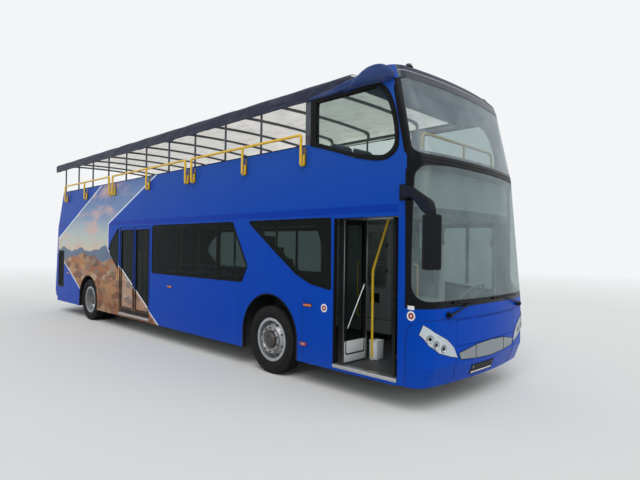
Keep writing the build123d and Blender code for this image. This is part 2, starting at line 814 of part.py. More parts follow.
def engine():
    rear = frame_rear + 200
    front = -wheelbase - 730
    body = block(rear, front, -400, 400, 380, 1180)
    mount = block(rear + 150, rear + 270, 400, frame_y, 760, 840) + block(front - 220, front - 100, 400, frame_y, 760, 840)
    return body + both_sides(mount)


def tail_lamps():
    lamps = []
    for side in (-1, 1):
        for z in (700, 830, 960):
            skin = end_solid(tail, 550, 1500, tail_back, -12) - end_solid(tail, 550, 1500, tail_back, -seat_gap)
            y = sorted([side * 1010, side * 1130])
            lamps.append(skin & tail_zone(y[0], y[1], z, z + 110))
    return group(lamps)


def marker_lamps():
    lamps = []
    for side in (-1, 1):
        lamps.append(rod((2095, side * 930, crown_z + seat_gap), (2095, side * 930, crown_z + 33), 34))
        for x in (790, -2800, -5300, -8000):
            y = sorted([side * half, side * (half + 12)])
            lamps.append(block(x - 70, x + 70, y[0], y[1], 1025, 1055))
    return group(lamps)


def leaf(width):
    # One door leaf, closed, from its hinge edge at x = 0 forward; the outside is at y = 0
    foot = door_foot + 8
    top = door_head - 8
    panel = block(0, width, 0, leaf_wall, foot, top)
    hole = block(leaf_frame, width - leaf_frame, -1, leaf_wall + 1, foot + 110, top - leaf_frame)
    glass = block(leaf_frame + seat_gap, width - leaf_frame - seat_gap, 14, 20, foot + 110 + seat_gap,
                  top - leaf_frame - seat_gap)
    return panel - hole, glass


# Hinge posts of the leaves, inboard of the wall's skin
pivot_in = 36
pivot_along = 22
shaft_radius = 16


def leaf_shaft():
    # The turning shaft inboard of the leaf stands on the floor and reaches the ceiling
    centre_y = leaf_wall + pivot_in
    low = floor_z + seat_gap
    shaft = rod((pivot_along, centre_y, low), (pivot_along, centre_y, deck_z - deck_wall - seat_gap), shaft_radius)
    arms = [block(pivot_along - 12, pivot_along + 12, leaf_wall - 1, centre_y, z, z + 40) for z in (560, 1240, 1920)]
    for arm in arms:
        shaft = shaft + arm
    return shaft


def door_leaves(door):
    # Returns the rear-edge leaf and the front-edge leaf of a door, both closed, with their hinge places
    rear, front = door
    width = (front - rear - 2 * leaf_gap - leaf_meeting_gap) / 2
    y = -half + leaf_inset
    frame, glass = leaf(width)
    place = Pos(rear + leaf_gap, y, 0)
    first = (place * (frame + leaf_shaft()), place * glass, (rear + leaf_gap + pivot_along, y + leaf_wall + pivot_in))
    frame, glass = mirror(frame + leaf_shaft(), about=Plane.YZ), mirror(glass, about=Plane.YZ)
    place = Pos(front - leaf_gap, y, 0)
    second = (place * frame, place * glass, (front - leaf_gap - pivot_along, y + leaf_wall + pivot_in))
    return first, second


def turned(piece, hinge, degrees):
    x, y = hinge
    return Pos(x, y, 0) * Rot(0, 0, degrees) * Pos(-x, -y, 0) * piece


# Build and write every piece
os.makedirs("parts", exist_ok=True)


def write(name, piece):
    export_step(Pos(centre_shift, 0, 0) * piece, "parts/" + name + ".step")


write("chassis_frame", chassis())
write("lower_floor", lower_floor())
write("upper_floor", upper_floor())
write("lower_wall_right", lower_wall(-1))
write("lower_wall_left", lower_wall(1))
write("upper_wall_left", upper_wall())
write("upper_wall_right", mirror(upper_wall(), about=Plane.XZ))
write("front_mask", front_mask())
write("front_flap", front_flap())
write("front_trim", front_trim())
write("headlamps", headlamps())
write("front_frame", front_frame())
write("windscreen_lower", glass_sheet(lower_glass))
write("windscreen_upper", glass_sheet(upper_glass))
write("front_roof", front_roof())
write("canopy", canopy())
write("canopy_roll", canopy_roll())
write("canopy_frame", canopy_frame())
write("side_glass", side_glass())
write("deck_glass", deck_glass())
write("rear_wall", rear_wall())
write("rear_glass", rear_glass())
write("engine_lid", engine_lid())
write("engine_grilles", engine_grilles())
write("engine", engine())
write("tail_lamps", tail_lamps())
write("marker_lamps", marker_lamps())
write("front_axle", front_axle())
write("rear_axle", rear_axle())
write("stairs", stairs())
write("lower_seats", lower_seats())
write("upper_seats", upper_seats())
write("driver_seat", driver_seat())
write("dashboard", dashboard())
write("cab_partition", cab_partition())
write("grab_poles", grab_poles())
write("outer_rails", outer_rails())
write("mirrors", mirrors())
write("wipers", wipers())

for side, name in ((1, "left"), (-1, "right")):
    steer = knuckle() if side < 0 else mirror(knuckle(), about=Plane.XZ)
    write("knuckle_" + name, steer)
    write("front_tyre_" + name, place_wheel(tyre(), 0, track_half, side))
    write("front_rim_" + name, place_wheel(front_rim(), 0, track_half, side))
    pair = Pos(0, twin_spacing / 2, 0) * tyre(), Pos(0, -twin_spacing / 2, 0) * tyre()
    tyres = group([place_wheel(one, -wheelbase, track_half - twin_spacing / 2, side) for one in pair])
    write("rear_tyres_" + name, tyres)
    write("rear_rims_" + name, place_wheel(rear_rims(), -wheelbase, track_half - twin_spacing / 2, side))

# The front door stands open with its leaves folded in; the rear door is shut
for door_name, door, open_turn in (("front_door", front_door, 90), ("rear_door", rear_door, 0)):
    first, second = door_leaves(door)
    for leaf_name, (frame, glass, hinge), way in (("rear_leaf", first, 1), ("front_leaf", second, -1)):
        write(door_name + "_" + leaf_name, turned(frame, hinge, way * open_turn))
        write(door_name + "_" + leaf_name + "_glass", turned(glass, hinge, way * open_turn))
        print(door_name, leaf_name, "hinge", hinge[0] + centre_shift, hinge[1])
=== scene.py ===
import bpy
import bmesh
import math
from mathutils import Matrix, Vector, noise
from mathutils.geometry import tessellate_polygon


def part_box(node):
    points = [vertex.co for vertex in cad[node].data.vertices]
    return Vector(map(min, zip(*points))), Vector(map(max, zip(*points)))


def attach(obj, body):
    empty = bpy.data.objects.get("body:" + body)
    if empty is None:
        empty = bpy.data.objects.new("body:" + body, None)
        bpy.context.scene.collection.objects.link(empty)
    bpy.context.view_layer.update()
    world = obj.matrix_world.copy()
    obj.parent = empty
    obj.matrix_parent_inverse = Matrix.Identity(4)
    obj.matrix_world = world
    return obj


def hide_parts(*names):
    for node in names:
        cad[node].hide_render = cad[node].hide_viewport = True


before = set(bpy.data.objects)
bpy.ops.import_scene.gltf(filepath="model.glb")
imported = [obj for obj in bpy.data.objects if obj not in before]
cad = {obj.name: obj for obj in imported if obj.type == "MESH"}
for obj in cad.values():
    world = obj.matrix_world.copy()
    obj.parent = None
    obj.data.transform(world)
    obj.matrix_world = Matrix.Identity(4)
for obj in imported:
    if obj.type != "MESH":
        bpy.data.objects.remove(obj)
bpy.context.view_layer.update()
print("stage: frame loaded,", len(cad), "nodes")

# Places that everything is measured from, in metres; along the bus they count from the front axle
tyreLow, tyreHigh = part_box("front_tyre_right")
frontAxle = (tyreLow.x + tyreHigh.x) / 2
hubHeight = (tyreLow.z + tyreHigh.z) / 2
rearLow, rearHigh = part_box("rear_tyres_right")
rearAxle = (rearLow.x + rearHigh.x) / 2
trackHalf = abs(tyreLow.y + tyreHigh.y) / 2
pairMiddle = abs(rearLow.y + rearHigh.y) / 2
pairHalf = (rearHigh.y - rearLow.y - (tyreHigh.y - tyreLow.y)) / 2
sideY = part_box("lower_wall_left")[1].y
innerY = sideY - 0.06
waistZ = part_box("rear_wall")[1].z
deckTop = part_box("upper_seats")[0].z
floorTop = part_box("lower_seats")[0].z


def ahead(x):
    return frontAxle + x


def tone(red, green, blue):
    # a colour as a paint chart gives it, 0 to 255, turned into light values
    def light(value):
        value = value / 255
        return value / 12.92 if value < 0.04045 else ((value + 0.055) / 1.055) ** 2.4
    return (light(red), light(green), light(blue), 1.0)


# Shader maths: a wire is one socket, and an expression on wires adds the Math nodes

class Wire:
    def __init__(self, finish, socket):
        self.finish = finish
        self.socket = socket

    def maths(self, operation, first, second=None):
        inputs = {0: first} if second is None else {0: first, 1: second}
        return self.finish.add("Math", {"operation": operation}, inputs)

    def __add__(self, other):
        return self.maths("ADD", self, other)

    def __sub__(self, other):
        return self.maths("SUBTRACT", self, other)

    def __rsub__(self, other):
        return self.maths("SUBTRACT", other, self)

    def __mul__(self, other):
        return self.maths("MULTIPLY", self, other)

    def __truediv__(self, other):
        return self.maths("DIVIDE", self, other)

    def __abs__(self):
        return self.maths("ABSOLUTE", self)

    __radd__ = __add__
    __rmul__ = __mul__

    def least(self, other):
        return self.maths("MINIMUM", self, other)

    def most(self, other):
        return self.maths("MAXIMUM", self, other)

    def root(self):
        return self.maths("SQRT", self)

    def wave(self):
        return self.maths("SINE", self)

    def past(self, edge, soft=0.002):
        # 0 below the edge, 1 above it
        return self.finish.add("MapRange", {"interpolation_type": "SMOOTHSTEP"},
                               {"Value": self, "From Min": edge - soft, "From Max": edge + soft})


class Finish:
    def __init__(self, name):
        self.material = bpy.data.materials.new(name)
        self.material.use_nodes = True
        self.tree = self.material.node_tree
        self.tree.nodes.clear()
        self.place = None

    def add(self, kind, settings, inputs, out=0):
        node = self.tree.nodes.new("ShaderNode" + kind)
        for key, value in settings.items():
            if key == "stops":
                ramp = node.color_ramp
                while len(ramp.elements) < len(value):
                    ramp.elements.new(0.5)
                for element, (spot, colour) in zip(ramp.elements, value):
                    element.position = spot
                    element.color = colour
            else:
                setattr(node, key, value)
        for key, value in inputs.items():
            if isinstance(value, Wire):
                self.tree.links.new(value.socket, node.inputs[key])
            else:
                node.inputs[key].default_value = value
        return Wire(self, node.outputs[out])

    def where(self):
        # the place on the bus at rest, as three wires and as one vector
        if self.place is None:
            self.place = self.add("TexCoord", {}, {}, "Object")
        parts = self.add("SeparateXYZ", {}, {0: self.place}).socket.node
        return [Wire(self, parts.outputs[i]) for i in range(3)]

    def facing(self):
        normal = self.add("TexCoord", {}, {}, "Normal")
        parts = self.add("SeparateXYZ", {}, {0: normal}).socket.node
        return [Wire(self, parts.outputs[i]) for i in range(3)]

    def stretched(self, scale):
        self.where()
        return self.add("VectorMath", {"operation": "MULTIPLY"}, {0: self.place, 1: scale})

    def noise(self, scale, detail=3.0, stretch=(1, 1, 1), distortion=0.0):
        return self.add("TexNoise", {}, {"Vector": self.stretched(stretch), "Scale": scale, "Detail": detail,
                                         "Distortion": distortion})

    def between(self, factor, first, second):
        return self.add("Mix", {"data_type": "RGBA"}, {0: factor, 6: first, 7: second}, 2)

    def bumped(self, height, distance):
        return self.add("Bump", {}, {"Height": height, "Distance": distance})

    def principled(self, inputs):
        return self.add("BsdfPrincipled", {}, inputs)

    def mixed(self, factor, first, second):
        return self.add("MixShader", {}, {0: factor, 1: first, 2: second})

    def finished(self, shader):
        output = self.tree.nodes.new("ShaderNodeOutputMaterial")
        self.tree.links.new(shader.socket, output.inputs["Surface"])
        return self.material

    def coated(self, inputs):
        return self.finished(self.principled(inputs))


roadDust = tone(98, 94, 88)


def soiled(finish, colour, amount, top=0.95, everywhere=0.012):
    # road dust that thins out with height, and a little film everywhere
    z = finish.where()[2]
    cloud = finish.noise(2.2, 5)
    low = (1 - z / top).most(0.0)
    film = (low * low * 0.9 + everywhere) * (cloud * 1.5 + 0.1) * amount
    return finish.between(film.least(0.85), colour, roadDust), film


# Plain finishes: colour, roughness, metal, size of the grain per metre, depth of the grain, dirt, coat
plainFinishes = {
    "blackPlastic": (tone(14, 16, 20), 0.46, 0.0, 500, 0.0004, 0.4, 0.0),
    "blackRubber": (tone(15, 16, 18), 0.62, 0.0, 220, 0.0004, 0.7, 0.0),
    "blackEnamel": (tone(14, 15, 17), 0.16, 0.0, 60, 0.00005, 0.3, 0.15),
    "greyFrame": (tone(66, 71, 80), 0.38, 0.1, 300, 0.0002, 0.3, 0.2),
    "chassisPaint": (tone(34, 35, 37), 0.55, 0.2, 120, 0.0008, 1.0, 0.0),
    "castIron": (tone(58, 56, 54), 0.6, 0.6, 160, 0.0012, 1.0, 0.0),
    "satinAlloy": (tone(196, 198, 200), 0.3, 0.9, 340, 0.0002, 0.2, 0.0),
    "brightSteel": (tone(214, 216, 219), 0.16, 1.0, 400, 0.0001, 0.1, 0.0),
    "yellowCoat": (tone(226, 186, 34), 0.34, 0.0, 300, 0.0002, 0.15, 0.35),
    "greyTrim": (tone(122, 128, 130), 0.5, 0.0, 600, 0.0003, 0.2, 0.0),
    # this pale grey also paints the highlight along the edges of the seat backs
    "paleTrim": (tone(176, 178, 176), 0.5, 0.0, 500, 0.0003, 0.15, 0.0),
    "dashGrey": (tone(158, 164, 163), 0.55, 0.0, 500, 0.0004, 0.15, 0.0),
    "lampWhite": (tone(224, 228, 232), 0.24, 0.0, 400, 0.0001, 0.1, 0.3),
    "browGlass": (tone(40, 47, 58), 0.3, 0.0, 40, 0.00004, 0.1, 0.0),
    "browNavy": (tone(30, 38, 58), 0.4, 0.0, 300, 0.0002, 0.2, 0.0),
    "trimSilver": (tone(140, 148, 153), 0.34, 0.6, 340, 0.0002, 0.15, 0.1),
    "cabGrey": (tone(212, 217, 218), 0.5, 0.0, 600, 0.0003, 0.15, 0.0),
    "darkTrim": (tone(40, 42, 45), 0.6, 0.0, 600, 0.0005, 0.3, 0.0),
    "seatShell": (tone(112, 132, 172), 0.38, 0.0, 420, 0.0003, 0.15, 0.15),
    "engineGrey": (tone(96, 99, 100), 0.55, 0.4, 90, 0.0015, 1.0, 0.0),
    "whiteLabel": (tone(232, 233, 232), 0.4, 0.0, 200, 0.0001, 0.15, 0.1),
    "redLabel": (tone(150, 42, 34), 0.4, 0.0, 200, 0.0001, 0.15, 0.1),
    "blankPlate": (tone(26, 27, 30), 0.5, 0.0, 150, 0.0002, 0.4, 0.0),
}


def plainFinish(name, colour, rough, metal, grain, depth, dirt, coat):
    f = Finish(name)
    patches = f.noise(3.1, 4)
    fine = f.noise(grain, 2)
    varied = f.between(patches * 0.5, colour, tuple(c * 0.72 for c in colour[:3]) + (1,))
    shade, film = soiled(f, varied, dirt)
    gloss = 0.12 if max(colour[:3]) < 0.03 else 0.35
    return f.coated({
        "Base Color": shade, "Roughness": (patches * 0.14 + film * 0.3 + (rough - 0.07)).least(0.95),
        "Metallic": metal, "Coat Weight": coat, "Coat Roughness": 0.08, "Specular IOR Level": gloss,
        "Normal": f.bumped(fine, depth)})


# The painted body: blue, with a landscape print between two white arrow lines on the sides
paint = {
    # the second blue is painted reflection: the paler blue that the sky lends the upper walls
    "blue": tone(0, 66, 170), "skyLitBlue": tone(44, 86, 158), "line": tone(226, 232, 238), "lineHalf": 0.013,
    # each line of an arrow: a place on it, x and z, and how far it runs back per metre of height
    "frontArrow": [(-5.47, 2.28, 2.478), (-5.55, 1.66, -1.703), (-5.56, 2.0, 0.0)],
    "rearArrow": [(-8.86, 1.88, 2.345), (-8.17, 1.24, -1.843), (-8.93, 1.8, 0.0)],
    "seamHalf": 0.003,
    # panel joints of the lower wall along the bus, and the height that each one reaches
    "joints": [(-0.72, 1.2), (0.70, 1.2), (-3.42, 1.2), (-5.02, 2.2), (-5.62, 2.2), (-7.36, 2.2)],
}


def arrow(x, z, lines):
    # how far a place lies ahead of the arrow's edge, less than 0 behind it
    side = None
    for lineX, lineZ, lean in lines:
        gap = (x - ahead(lineX) - (z - lineZ) * lean) * (1 / math.hypot(1, lean))
        side = gap if side is None else side.least(gap)
    return side


def landscape(f, z):
    # evening sky over low hills and a patchwork of fields
    drift = f.noise(0.55, 5, (1, 0, 2.4), 0.6)
    high = z + drift * 0.5 - 0.25
    sky = f.add("ValToRGB", {"stops": [(0.0, tone(198, 190, 168)), (0.28, tone(176, 186, 186)),
                                       (0.55, tone(124, 146, 178)), (1.0, tone(86, 112, 168))]},
                {0: (high - 1.62) / 1.5})
    puffs = f.noise(1.5, 6, (0.7, 0, 1.9), 0.35).past(0.56, 0.1)
    sky = f.between(puffs * 0.75, sky, tone(206, 172, 160))
    ridge = f.noise(0.9, 4, (1, 0, 0)) * 0.7
    far = 1 - (z - ridge).past(1.30, 0.02)
    picture = f.between(far, sky, tone(96, 112, 134))
    ridge = f.noise(0.62, 3, (1, 0, 0), 0.4) * 0.9
    near = 1 - (z - ridge).past(1.02, 0.03)
    cells = f.stretched((3.4, 0, 7.5))
    patch = f.add("TexVoronoi", {}, {"Vector": cells, "Scale": 1.0, "Randomness": 0.85}, "Color")
    share = f.add("SeparateColor", {}, {0: patch})
    fields = f.add("ValToRGB", {"stops": [(0.0, tone(96, 74, 60)), (0.3, tone(168, 104, 66)),
                                          (0.55, tone(196, 148, 96)), (0.75, tone(120, 96, 84)),
                                          (1.0, tone(206, 176, 140))]}, {0: share})
    grain = f.noise(26, 5, (1, 0, 2))
    fields = f.between(grain * 0.55, fields, tone(104, 84, 70))
    dusk = (1.25 - z).most(0.0) * 0.5
    fields = f.between(dusk.least(0.6), fields, tone(116, 66, 36))
    return f.between(near, picture, fields)


def paintFinish(name, printed):
    f = Finish(name)
    x, y, z = f.where()
    mottle = f.noise(0.8, 3)
    # painted reflection: the blue grows paler from 1.9 m up, standing in for the sky seen in the upper walls
    blue = f.between((z - 1.9).most(0.0).least(1.3) * 0.5, paint["blue"], paint["skyLitBlue"])
    colour = f.between(mottle * 0.3, blue, tone(2, 48, 148))
    # painted shade: a deeper blue band from 2.195 to 2.285 m along the side, under the lean of the upper wall
    paintedShadeBand = z.past(2.195, 0.004) * (1 - z.past(2.285, 0.004)) * (1 - (x - ahead(2.2)).past(0.0))
    colour = f.between(paintedShadeBand * 0.7, colour, tone(0, 46, 150))
    height = f.noise(380, 2) * 0.12 + f.noise(1.6, 2) * 4.0
    if printed:
        front = arrow(x, z, paint["frontArrow"])
        rear = arrow(x, z, paint["rearArrow"])
        inside = (1 - front.past(0.0)) * rear.past(0.0)
        colour = f.between(inside, colour, landscape(f, z))
        nearest = abs(front).least(abs(rear))
        stripe = 1 - nearest.past(paint["lineHalf"])
        colour = f.between(stripe, colour, paint["line"])
        seam = None
        for jointX, top in paint["joints"]:
            cut = (1 - abs(x - ahead(jointX)).past(paint["seamHalf"], 0.001)) * (1 - z.past(top, 0.001))
            seam = cut if seam is None else seam.most(cut)
        colour = f.between(seam * 0.8, colour, tone(8, 12, 24))
        height = height - seam * 6
    colour, film = soiled(f, colour, 0.2, 0.8, 0.0)
    streaks = f.noise(7, 4, (1, 1, 0.12)).past(0.62, 0.16)
    outer = f.principled({
        "Base Color": colour, "Roughness": (film * 0.6 + streaks * 0.05 + 0.24).least(0.8), "Coat Weight": 0.04,
        "Coat Roughness": 0.06, "Specular IOR Level": 0.04, "Normal": f.bumped(height, 0.0004)})
    nx, ny, nz = f.facing()
    side = y * 40
    outward = ny * side.most(-1.0).least(1.0)
    if printed:
        lining = f.between(f.noise(240, 2) * 0.3, tone(138, 142, 142), tone(96, 100, 102))
        trim = f.principled({"Base Color": lining, "Roughness": 0.55, "Normal": f.bumped(f.noise(600, 2), 0.0003)})
        edge = f.principled({"Base Color": tone(16, 17, 18), "Roughness": 0.5})
        isTrim = 1 - outward.past(-0.5, 0.02)
        isEdge = (1 - abs(ny).past(0.5, 0.02)) * (1 - nz.past(0.8, 0.02))
        inner = f.mixed(isTrim, edge, trim)
        outer = f.mixed(isTrim.most(isEdge), outer, inner)
    else:
        dark = f.principled({"Base Color": f.between(f.noise(300, 2), tone(24, 25, 27), tone(38, 40, 42)),
                             "Roughness": 0.55})
        turnedIn = (1 - nx.past(-0.4, 0.02)) * (x - ahead(0.0)).past(0.0) + (1 - outward.past(-0.5, 0.02))
        outer = f.mixed(turnedIn.least(1.0), outer, dark)
        black = f.principled({"Base Color": tone(13, 15, 19), "Roughness": mottle * 0.1 + 0.24,
                              "Specular IOR Level": 0.08})
        behind = (x - ahead(2.298) + (z - 2.79).most(0.0) * 0.21).past(0.0) * z.past(1.152) * (1 - z.past(3.701))
        outer = f.mixed(behind, outer, black)
    return f.finished(outer)


def glassFinish(name, tint, haze=0.02, border=None, film=False, milk=tone(60, 72, 70)):
    # tinted clear glass; a border is the black band round a windscreen, in x and z
    f = Finish(name)
    x, _, z = f.where()
    smears = f.noise(3, 5).past(0.55, 0.25)
    clear = f.add("BsdfTransparent", {}, {"Color": tint})
    gloss = f.principled({"Base Color": milk, "Roughness": smears * 0.04 + 0.02, "Specular IOR Level": 0.8})
    slant = f.add("LayerWeight", {}, {"Blend": 0.5}, "Facing")
    square = slant * slant
    mirrorShare = square * square * slant * 0.9 + 0.05
    body = f.mixed((mirrorShare + smears * haze + haze).least(1.0), clear, gloss)
    if border:
        edgeX, lean, startZ, lowZ, highZ, corner = border
        beyond = ahead(edgeX) - (z - startZ) * lean - x + corner
        over = (lowZ - z).most(z - highZ) + corner
        beyond = beyond.most(0.0)
        over = over.most(0.0)
        away = (beyond * beyond + over * over).root() - corner
        enamel = f.principled({"Base Color": tone(11, 13, 16), "Roughness": smears * 0.1 + 0.18,
                               "Specular IOR Level": 0.1})
        body = f.mixed(away.past(0.0, 0.004), body, enamel)
    if film:
        front = arrow(x, z, paint["frontArrow"][:2])
        covered = 1 - front.past(0.0)
        line = 1 - abs(front).past(paint["lineHalf"])
        printed = f.between(line, landscape(f, z), paint["line"])
        vinyl = f.principled({"Base Color": printed, "Roughness": smears * 0.1 + 0.25, "Coat Weight": 0.3})
        low = 1 - z.past(1.32, 0.002)
        body = f.mixed((covered * low).most(line * low), body, vinyl)
    return f.finished(body)


def lensFinish(name, colour, ribs):
    f = Finish(name)
    x, y, z = f.where()
    rib = (z * ribs).wave() * 0.5 + (x * ribs + y * ribs).wave() * 0.5
    shade = f.between(f.noise(6, 3) * 0.4, colour, tuple(c * 0.6 for c in colour[:3]) + (1,))
    shade = f.between(z.past(3.8, 0.01), shade, tone(30, 30, 36))
    return f.coated({"Base Color": shade, "Roughness": f.noise(40, 2) * 0.08 + 0.08,
                     "Transmission Weight": 0.25, "Coat Weight": 0.8,
                     "Normal": f.bumped(rib, 0.0008)})


def clothFinish(name, colour, worn, thread, folds=0.0, paintedGlow=0.0):
    f = Finish(name)
    x, y, z = f.where()
    weave = (x * thread).wave() * 0.5 + (y * thread + z * thread).wave() * 0.5
    fade = f.noise(1.4, 5, (1, 1, 1), 0.3)
    shade = f.between(fade * 0.8, colour, worn)
    marks = f.noise(9, 5, (0.4, 1, 1.6)).past(0.6, 0.15)
    shade = f.between(marks * 0.25, shade, tone(96, 96, 98))
    creases = 1 - abs(f.noise(2.6, 3, (1, 2, 2.4), 0.8) * 2 - 1)
    height = weave * 0.06 + (f.noise(6, 4, (1, 1, 2)) + creases * creases * 1.4) * folds
    # the last setting is painted light: a glow by emission that stands in for daylight coming through thin cloth
    # from above
    return f.coated({"Base Color": shade, "Roughness": fade * 0.15 + 0.62, "Sheen Weight": 0.12,
                     "Specular IOR Level": 0.2, "Emission Color": shade,
                     "Emission Strength": paintedGlow,
                     "Normal": f.bumped(height, 0.008)})


def floorFinish(name, colour, fleck):
    # speckled anti-slip vinyl above, pale boards below
    f = Finish(name)
    nz = f.facing()[2]
    z = f.where()[2]
    specks = f.noise(420, 1).past(0.66, 0.03)
    shade = f.between(specks * 0.6, f.between(f.noise(2, 4) * 0.6, colour, tone(30, 31, 34)), fleck)
    used = soiled(f, shade, 0.4, 0.6)[0]
    board = f.between(f.noise(1.5, 3) * 0.4, tone(168, 171, 170), tone(140, 144, 146))
    # the low front board of the upper deck stands behind the windscreen
    upright = (1 - abs(nz).past(0.5, 0.05)) * (z - deckTop).past(0.01)
    lower = 1 - nz.past(-0.5, 0.05)
    return f.coated({
        "Base Color": f.between(upright.most(lower), used, board), "Roughness": specks * 0.1 + 0.55,
        "Normal": f.bumped(f.noise(300, 2), 0.0005)})


def railFinish():
    # yellow bars; what lies flat against the wall is dark
    f = Finish("railCoat")
    y = f.where()[1]
    patches = f.noise(4, 4)
    yellow = f.between(patches * 0.5, tone(226, 184, 44), tone(196, 156, 40))
    dark = 1 - abs(y).past(sideY + 0.0068, 0.0006)
    shade = f.between(dark, yellow, tone(28, 30, 34))
    return f.coated({"Base Color": shade, "Roughness": patches * 0.1 + 0.3, "Specular IOR Level": 0.3,
                     "Coat Weight": 0.15, "Normal": f.bumped(f.noise(300, 2), 0.0002)})


def rimFinish():
    # silver rims with a dark, greasy hub and brake dust near the nuts
    f = Finish("rimSilver")
    x, _, z = f.where()
    front = (x - frontAxle) * (x - frontAxle)
    rear = (x - rearAxle) * (x - rearAxle)
    radius = (front.least(rear) + (z - hubHeight) * (z - hubHeight)).root()
    patches = f.noise(5, 5)
    hub = 1 - radius.past(0.128, 0.006)
    dust = (1 - radius.past(0.22, 0.05)) * patches
    shade = f.between(dust * 0.7, tone(168, 171, 174), tone(92, 86, 78))
    shade = f.between(hub, shade, f.between(patches, tone(40, 39, 38), tone(78, 72, 66)))
    return f.coated({"Base Color": shade, "Metallic": 0.6 - hub * 0.5, "Roughness": patches * 0.2 + 0.32,
                     "Normal": f.bumped(f.noise(240, 2), 0.0004)})


def tyreFinish():
    f = Finish("tyreRubber")
    bloom = f.noise(6, 5)
    shade = f.between(bloom * 0.7, tone(12, 12, 14), tone(28, 27, 26))
    scuff = f.noise(45, 4).past(0.62, 0.1)
    return f.coated({"Base Color": f.between(scuff * 0.25, shade, tone(70, 68, 65)),
                     "Roughness": bloom * 0.15 + 0.68, "Specular IOR Level": 0.2,
                     "Normal": f.bumped(f.noise(260, 3), 0.0006)})


# Glass: tint, haze, the band round a windscreen, printed film, and what the haze looks like
glassKinds = {
    "sideGlass": ((0.46, 0.51, 0.50, 1), 0.015), "deckGlass": ((0.78, 0.84, 0.82, 1), 0.03),
    "rearGlass": ((0.38, 0.43, 0.41, 1), 0.02), "doorGlass": ((0.6, 0.66, 0.64, 1), 0.02),
    "doorGlassFilm": ((0.45, 0.5, 0.48, 1), 0.02, None, True),
    "lowerScreen": ((0.8, 0.86, 0.84, 1), 0.1, (2.375, 0.0, 1.2, 1.225, 2.75, 0.2), False, tone(150, 164, 170)),
    "upperScreen": ((0.86, 0.9, 0.89, 1), 0.12, (2.34, 0.21, 2.87, 2.835, 3.8, 0.09), False, tone(158, 170, 178)),
    "milkGlass": ((0.5, 0.56, 0.53, 1), 0.5, None, False, tone(150, 160, 154)),
    "mirrorGlass": ((0.02, 0.02, 0.02, 1), 0.6), "lampCover": ((0.9, 0.93, 0.94, 1), 0.02),
    "paneGlass": ((0.8, 0.85, 0.83, 1), 0.02)}
# Lenses: colour, ribs
lensKinds = {"amberLens": (tone(226, 104, 16), 900), "redLens": (tone(168, 14, 18), 700),
             "clearLens": (tone(206, 212, 218), 500)}
# Cloth: colour, worn colour, threads, depth of the folds, and a painted glow for daylight let through
clothKinds = {
    "canopyCloth": (tone(22, 26, 48), tone(36, 42, 66), 900, 0.9),
    "canopyLining": (tone(236, 233, 225), tone(214, 214, 214), 900, 0.3, 0.72),
    "rollCloth": (tone(22, 50, 104), tone(34, 60, 112), 900, 0.9),
    "seatCloth": (tone(44, 56, 92), tone(58, 66, 84), 1600, 0.2)}
# Floors: colour, specks
floorKinds = {"saloonFloor": (tone(52, 54, 58), tone(120, 122, 126)),
              "deckFloor": (tone(66, 68, 70), tone(128, 130, 132))}
finishes = {"sidePaint": paintFinish("sidePaint", True), "bodyPaint": paintFinish("bodyPaint", False),
            "tyreRubber": tyreFinish(), "railCoat": railFinish(), "rimSilver": rimFinish()}
for make, kinds in ((plainFinish, plainFinishes), (glassFinish, glassKinds), (lensFinish, lensKinds),
                    (clothFinish, clothKinds), (floorFinish, floorKinds)):
    finishes.update({name: make(name, *settings) for name, settings in kinds.items()})
print("stage: finishes made,", len(finishes))

# Which finish each node of the frame wears; * stands for left and right, > for both leaves of a door
worn = {
    "sidePaint": "lower_wall_* upper_wall_* rear_door_>",
    "bodyPaint": "front_mask front_flap front_frame front_roof rear_wall engine_lid",
    "sideGlass": "side_glass", "deckGlass": "deck_glass", "rearGlass": "rear_glass",
    "lowerScreen": "windscreen_lower", "upperScreen": "windscreen_upper", "trimSilver": "front_trim",
    "lampWhite": "headlamps", "redLens": "tail_lamps", "amberLens": "marker_lamps",
    "canopyCloth": "canopy", "rollCloth": "canopy_roll", "greyFrame": "canopy_frame",
    "chassisPaint": "chassis_frame knuckle_*", "castIron": "front_axle rear_axle", "engineGrey": "engine",
    "saloonFloor": "lower_floor", "deckFloor": "upper_floor", "blackPlastic": "engine_grilles mirrors wipers",
    "dashGrey": "dashboard", "darkTrim": "stairs", "seatShell": "lower_seats upper_seats",
    "seatCloth": "driver_seat", "cabGrey": "cab_partition", "yellowCoat": "grab_poles",
    "railCoat": "outer_rails", "tyreRubber": "front_tyre_* rear_tyres_*",
    "rimSilver": "front_rim_* rear_rims_*",
    "blackRubber": "front_door_>", "doorGlass": "front_door_>_glass", "doorGlassFilm": "rear_door_>_glass"}


def spelled(names):
    for sign, words in (("*", ("left", "right")), (">", ("rear_leaf", "front_leaf"))):
        names = [name.replace(sign, word) for name in names
                 for word in (words if sign in name else words[:1])]
    return names


dressed = set()
for finishName, nodeNames in worn.items():
    for nodeName in spelled(nodeNames.split()):
        mesh = cad[nodeName].data
        mesh.materials.clear()
        mesh.materials.append(finishes[finishName])
        dressed.add(nodeName)
print("stage: frame dressed, left over:", sorted(set(cad) - dressed))


# Making of meshes: a form gathers the faces of one piece

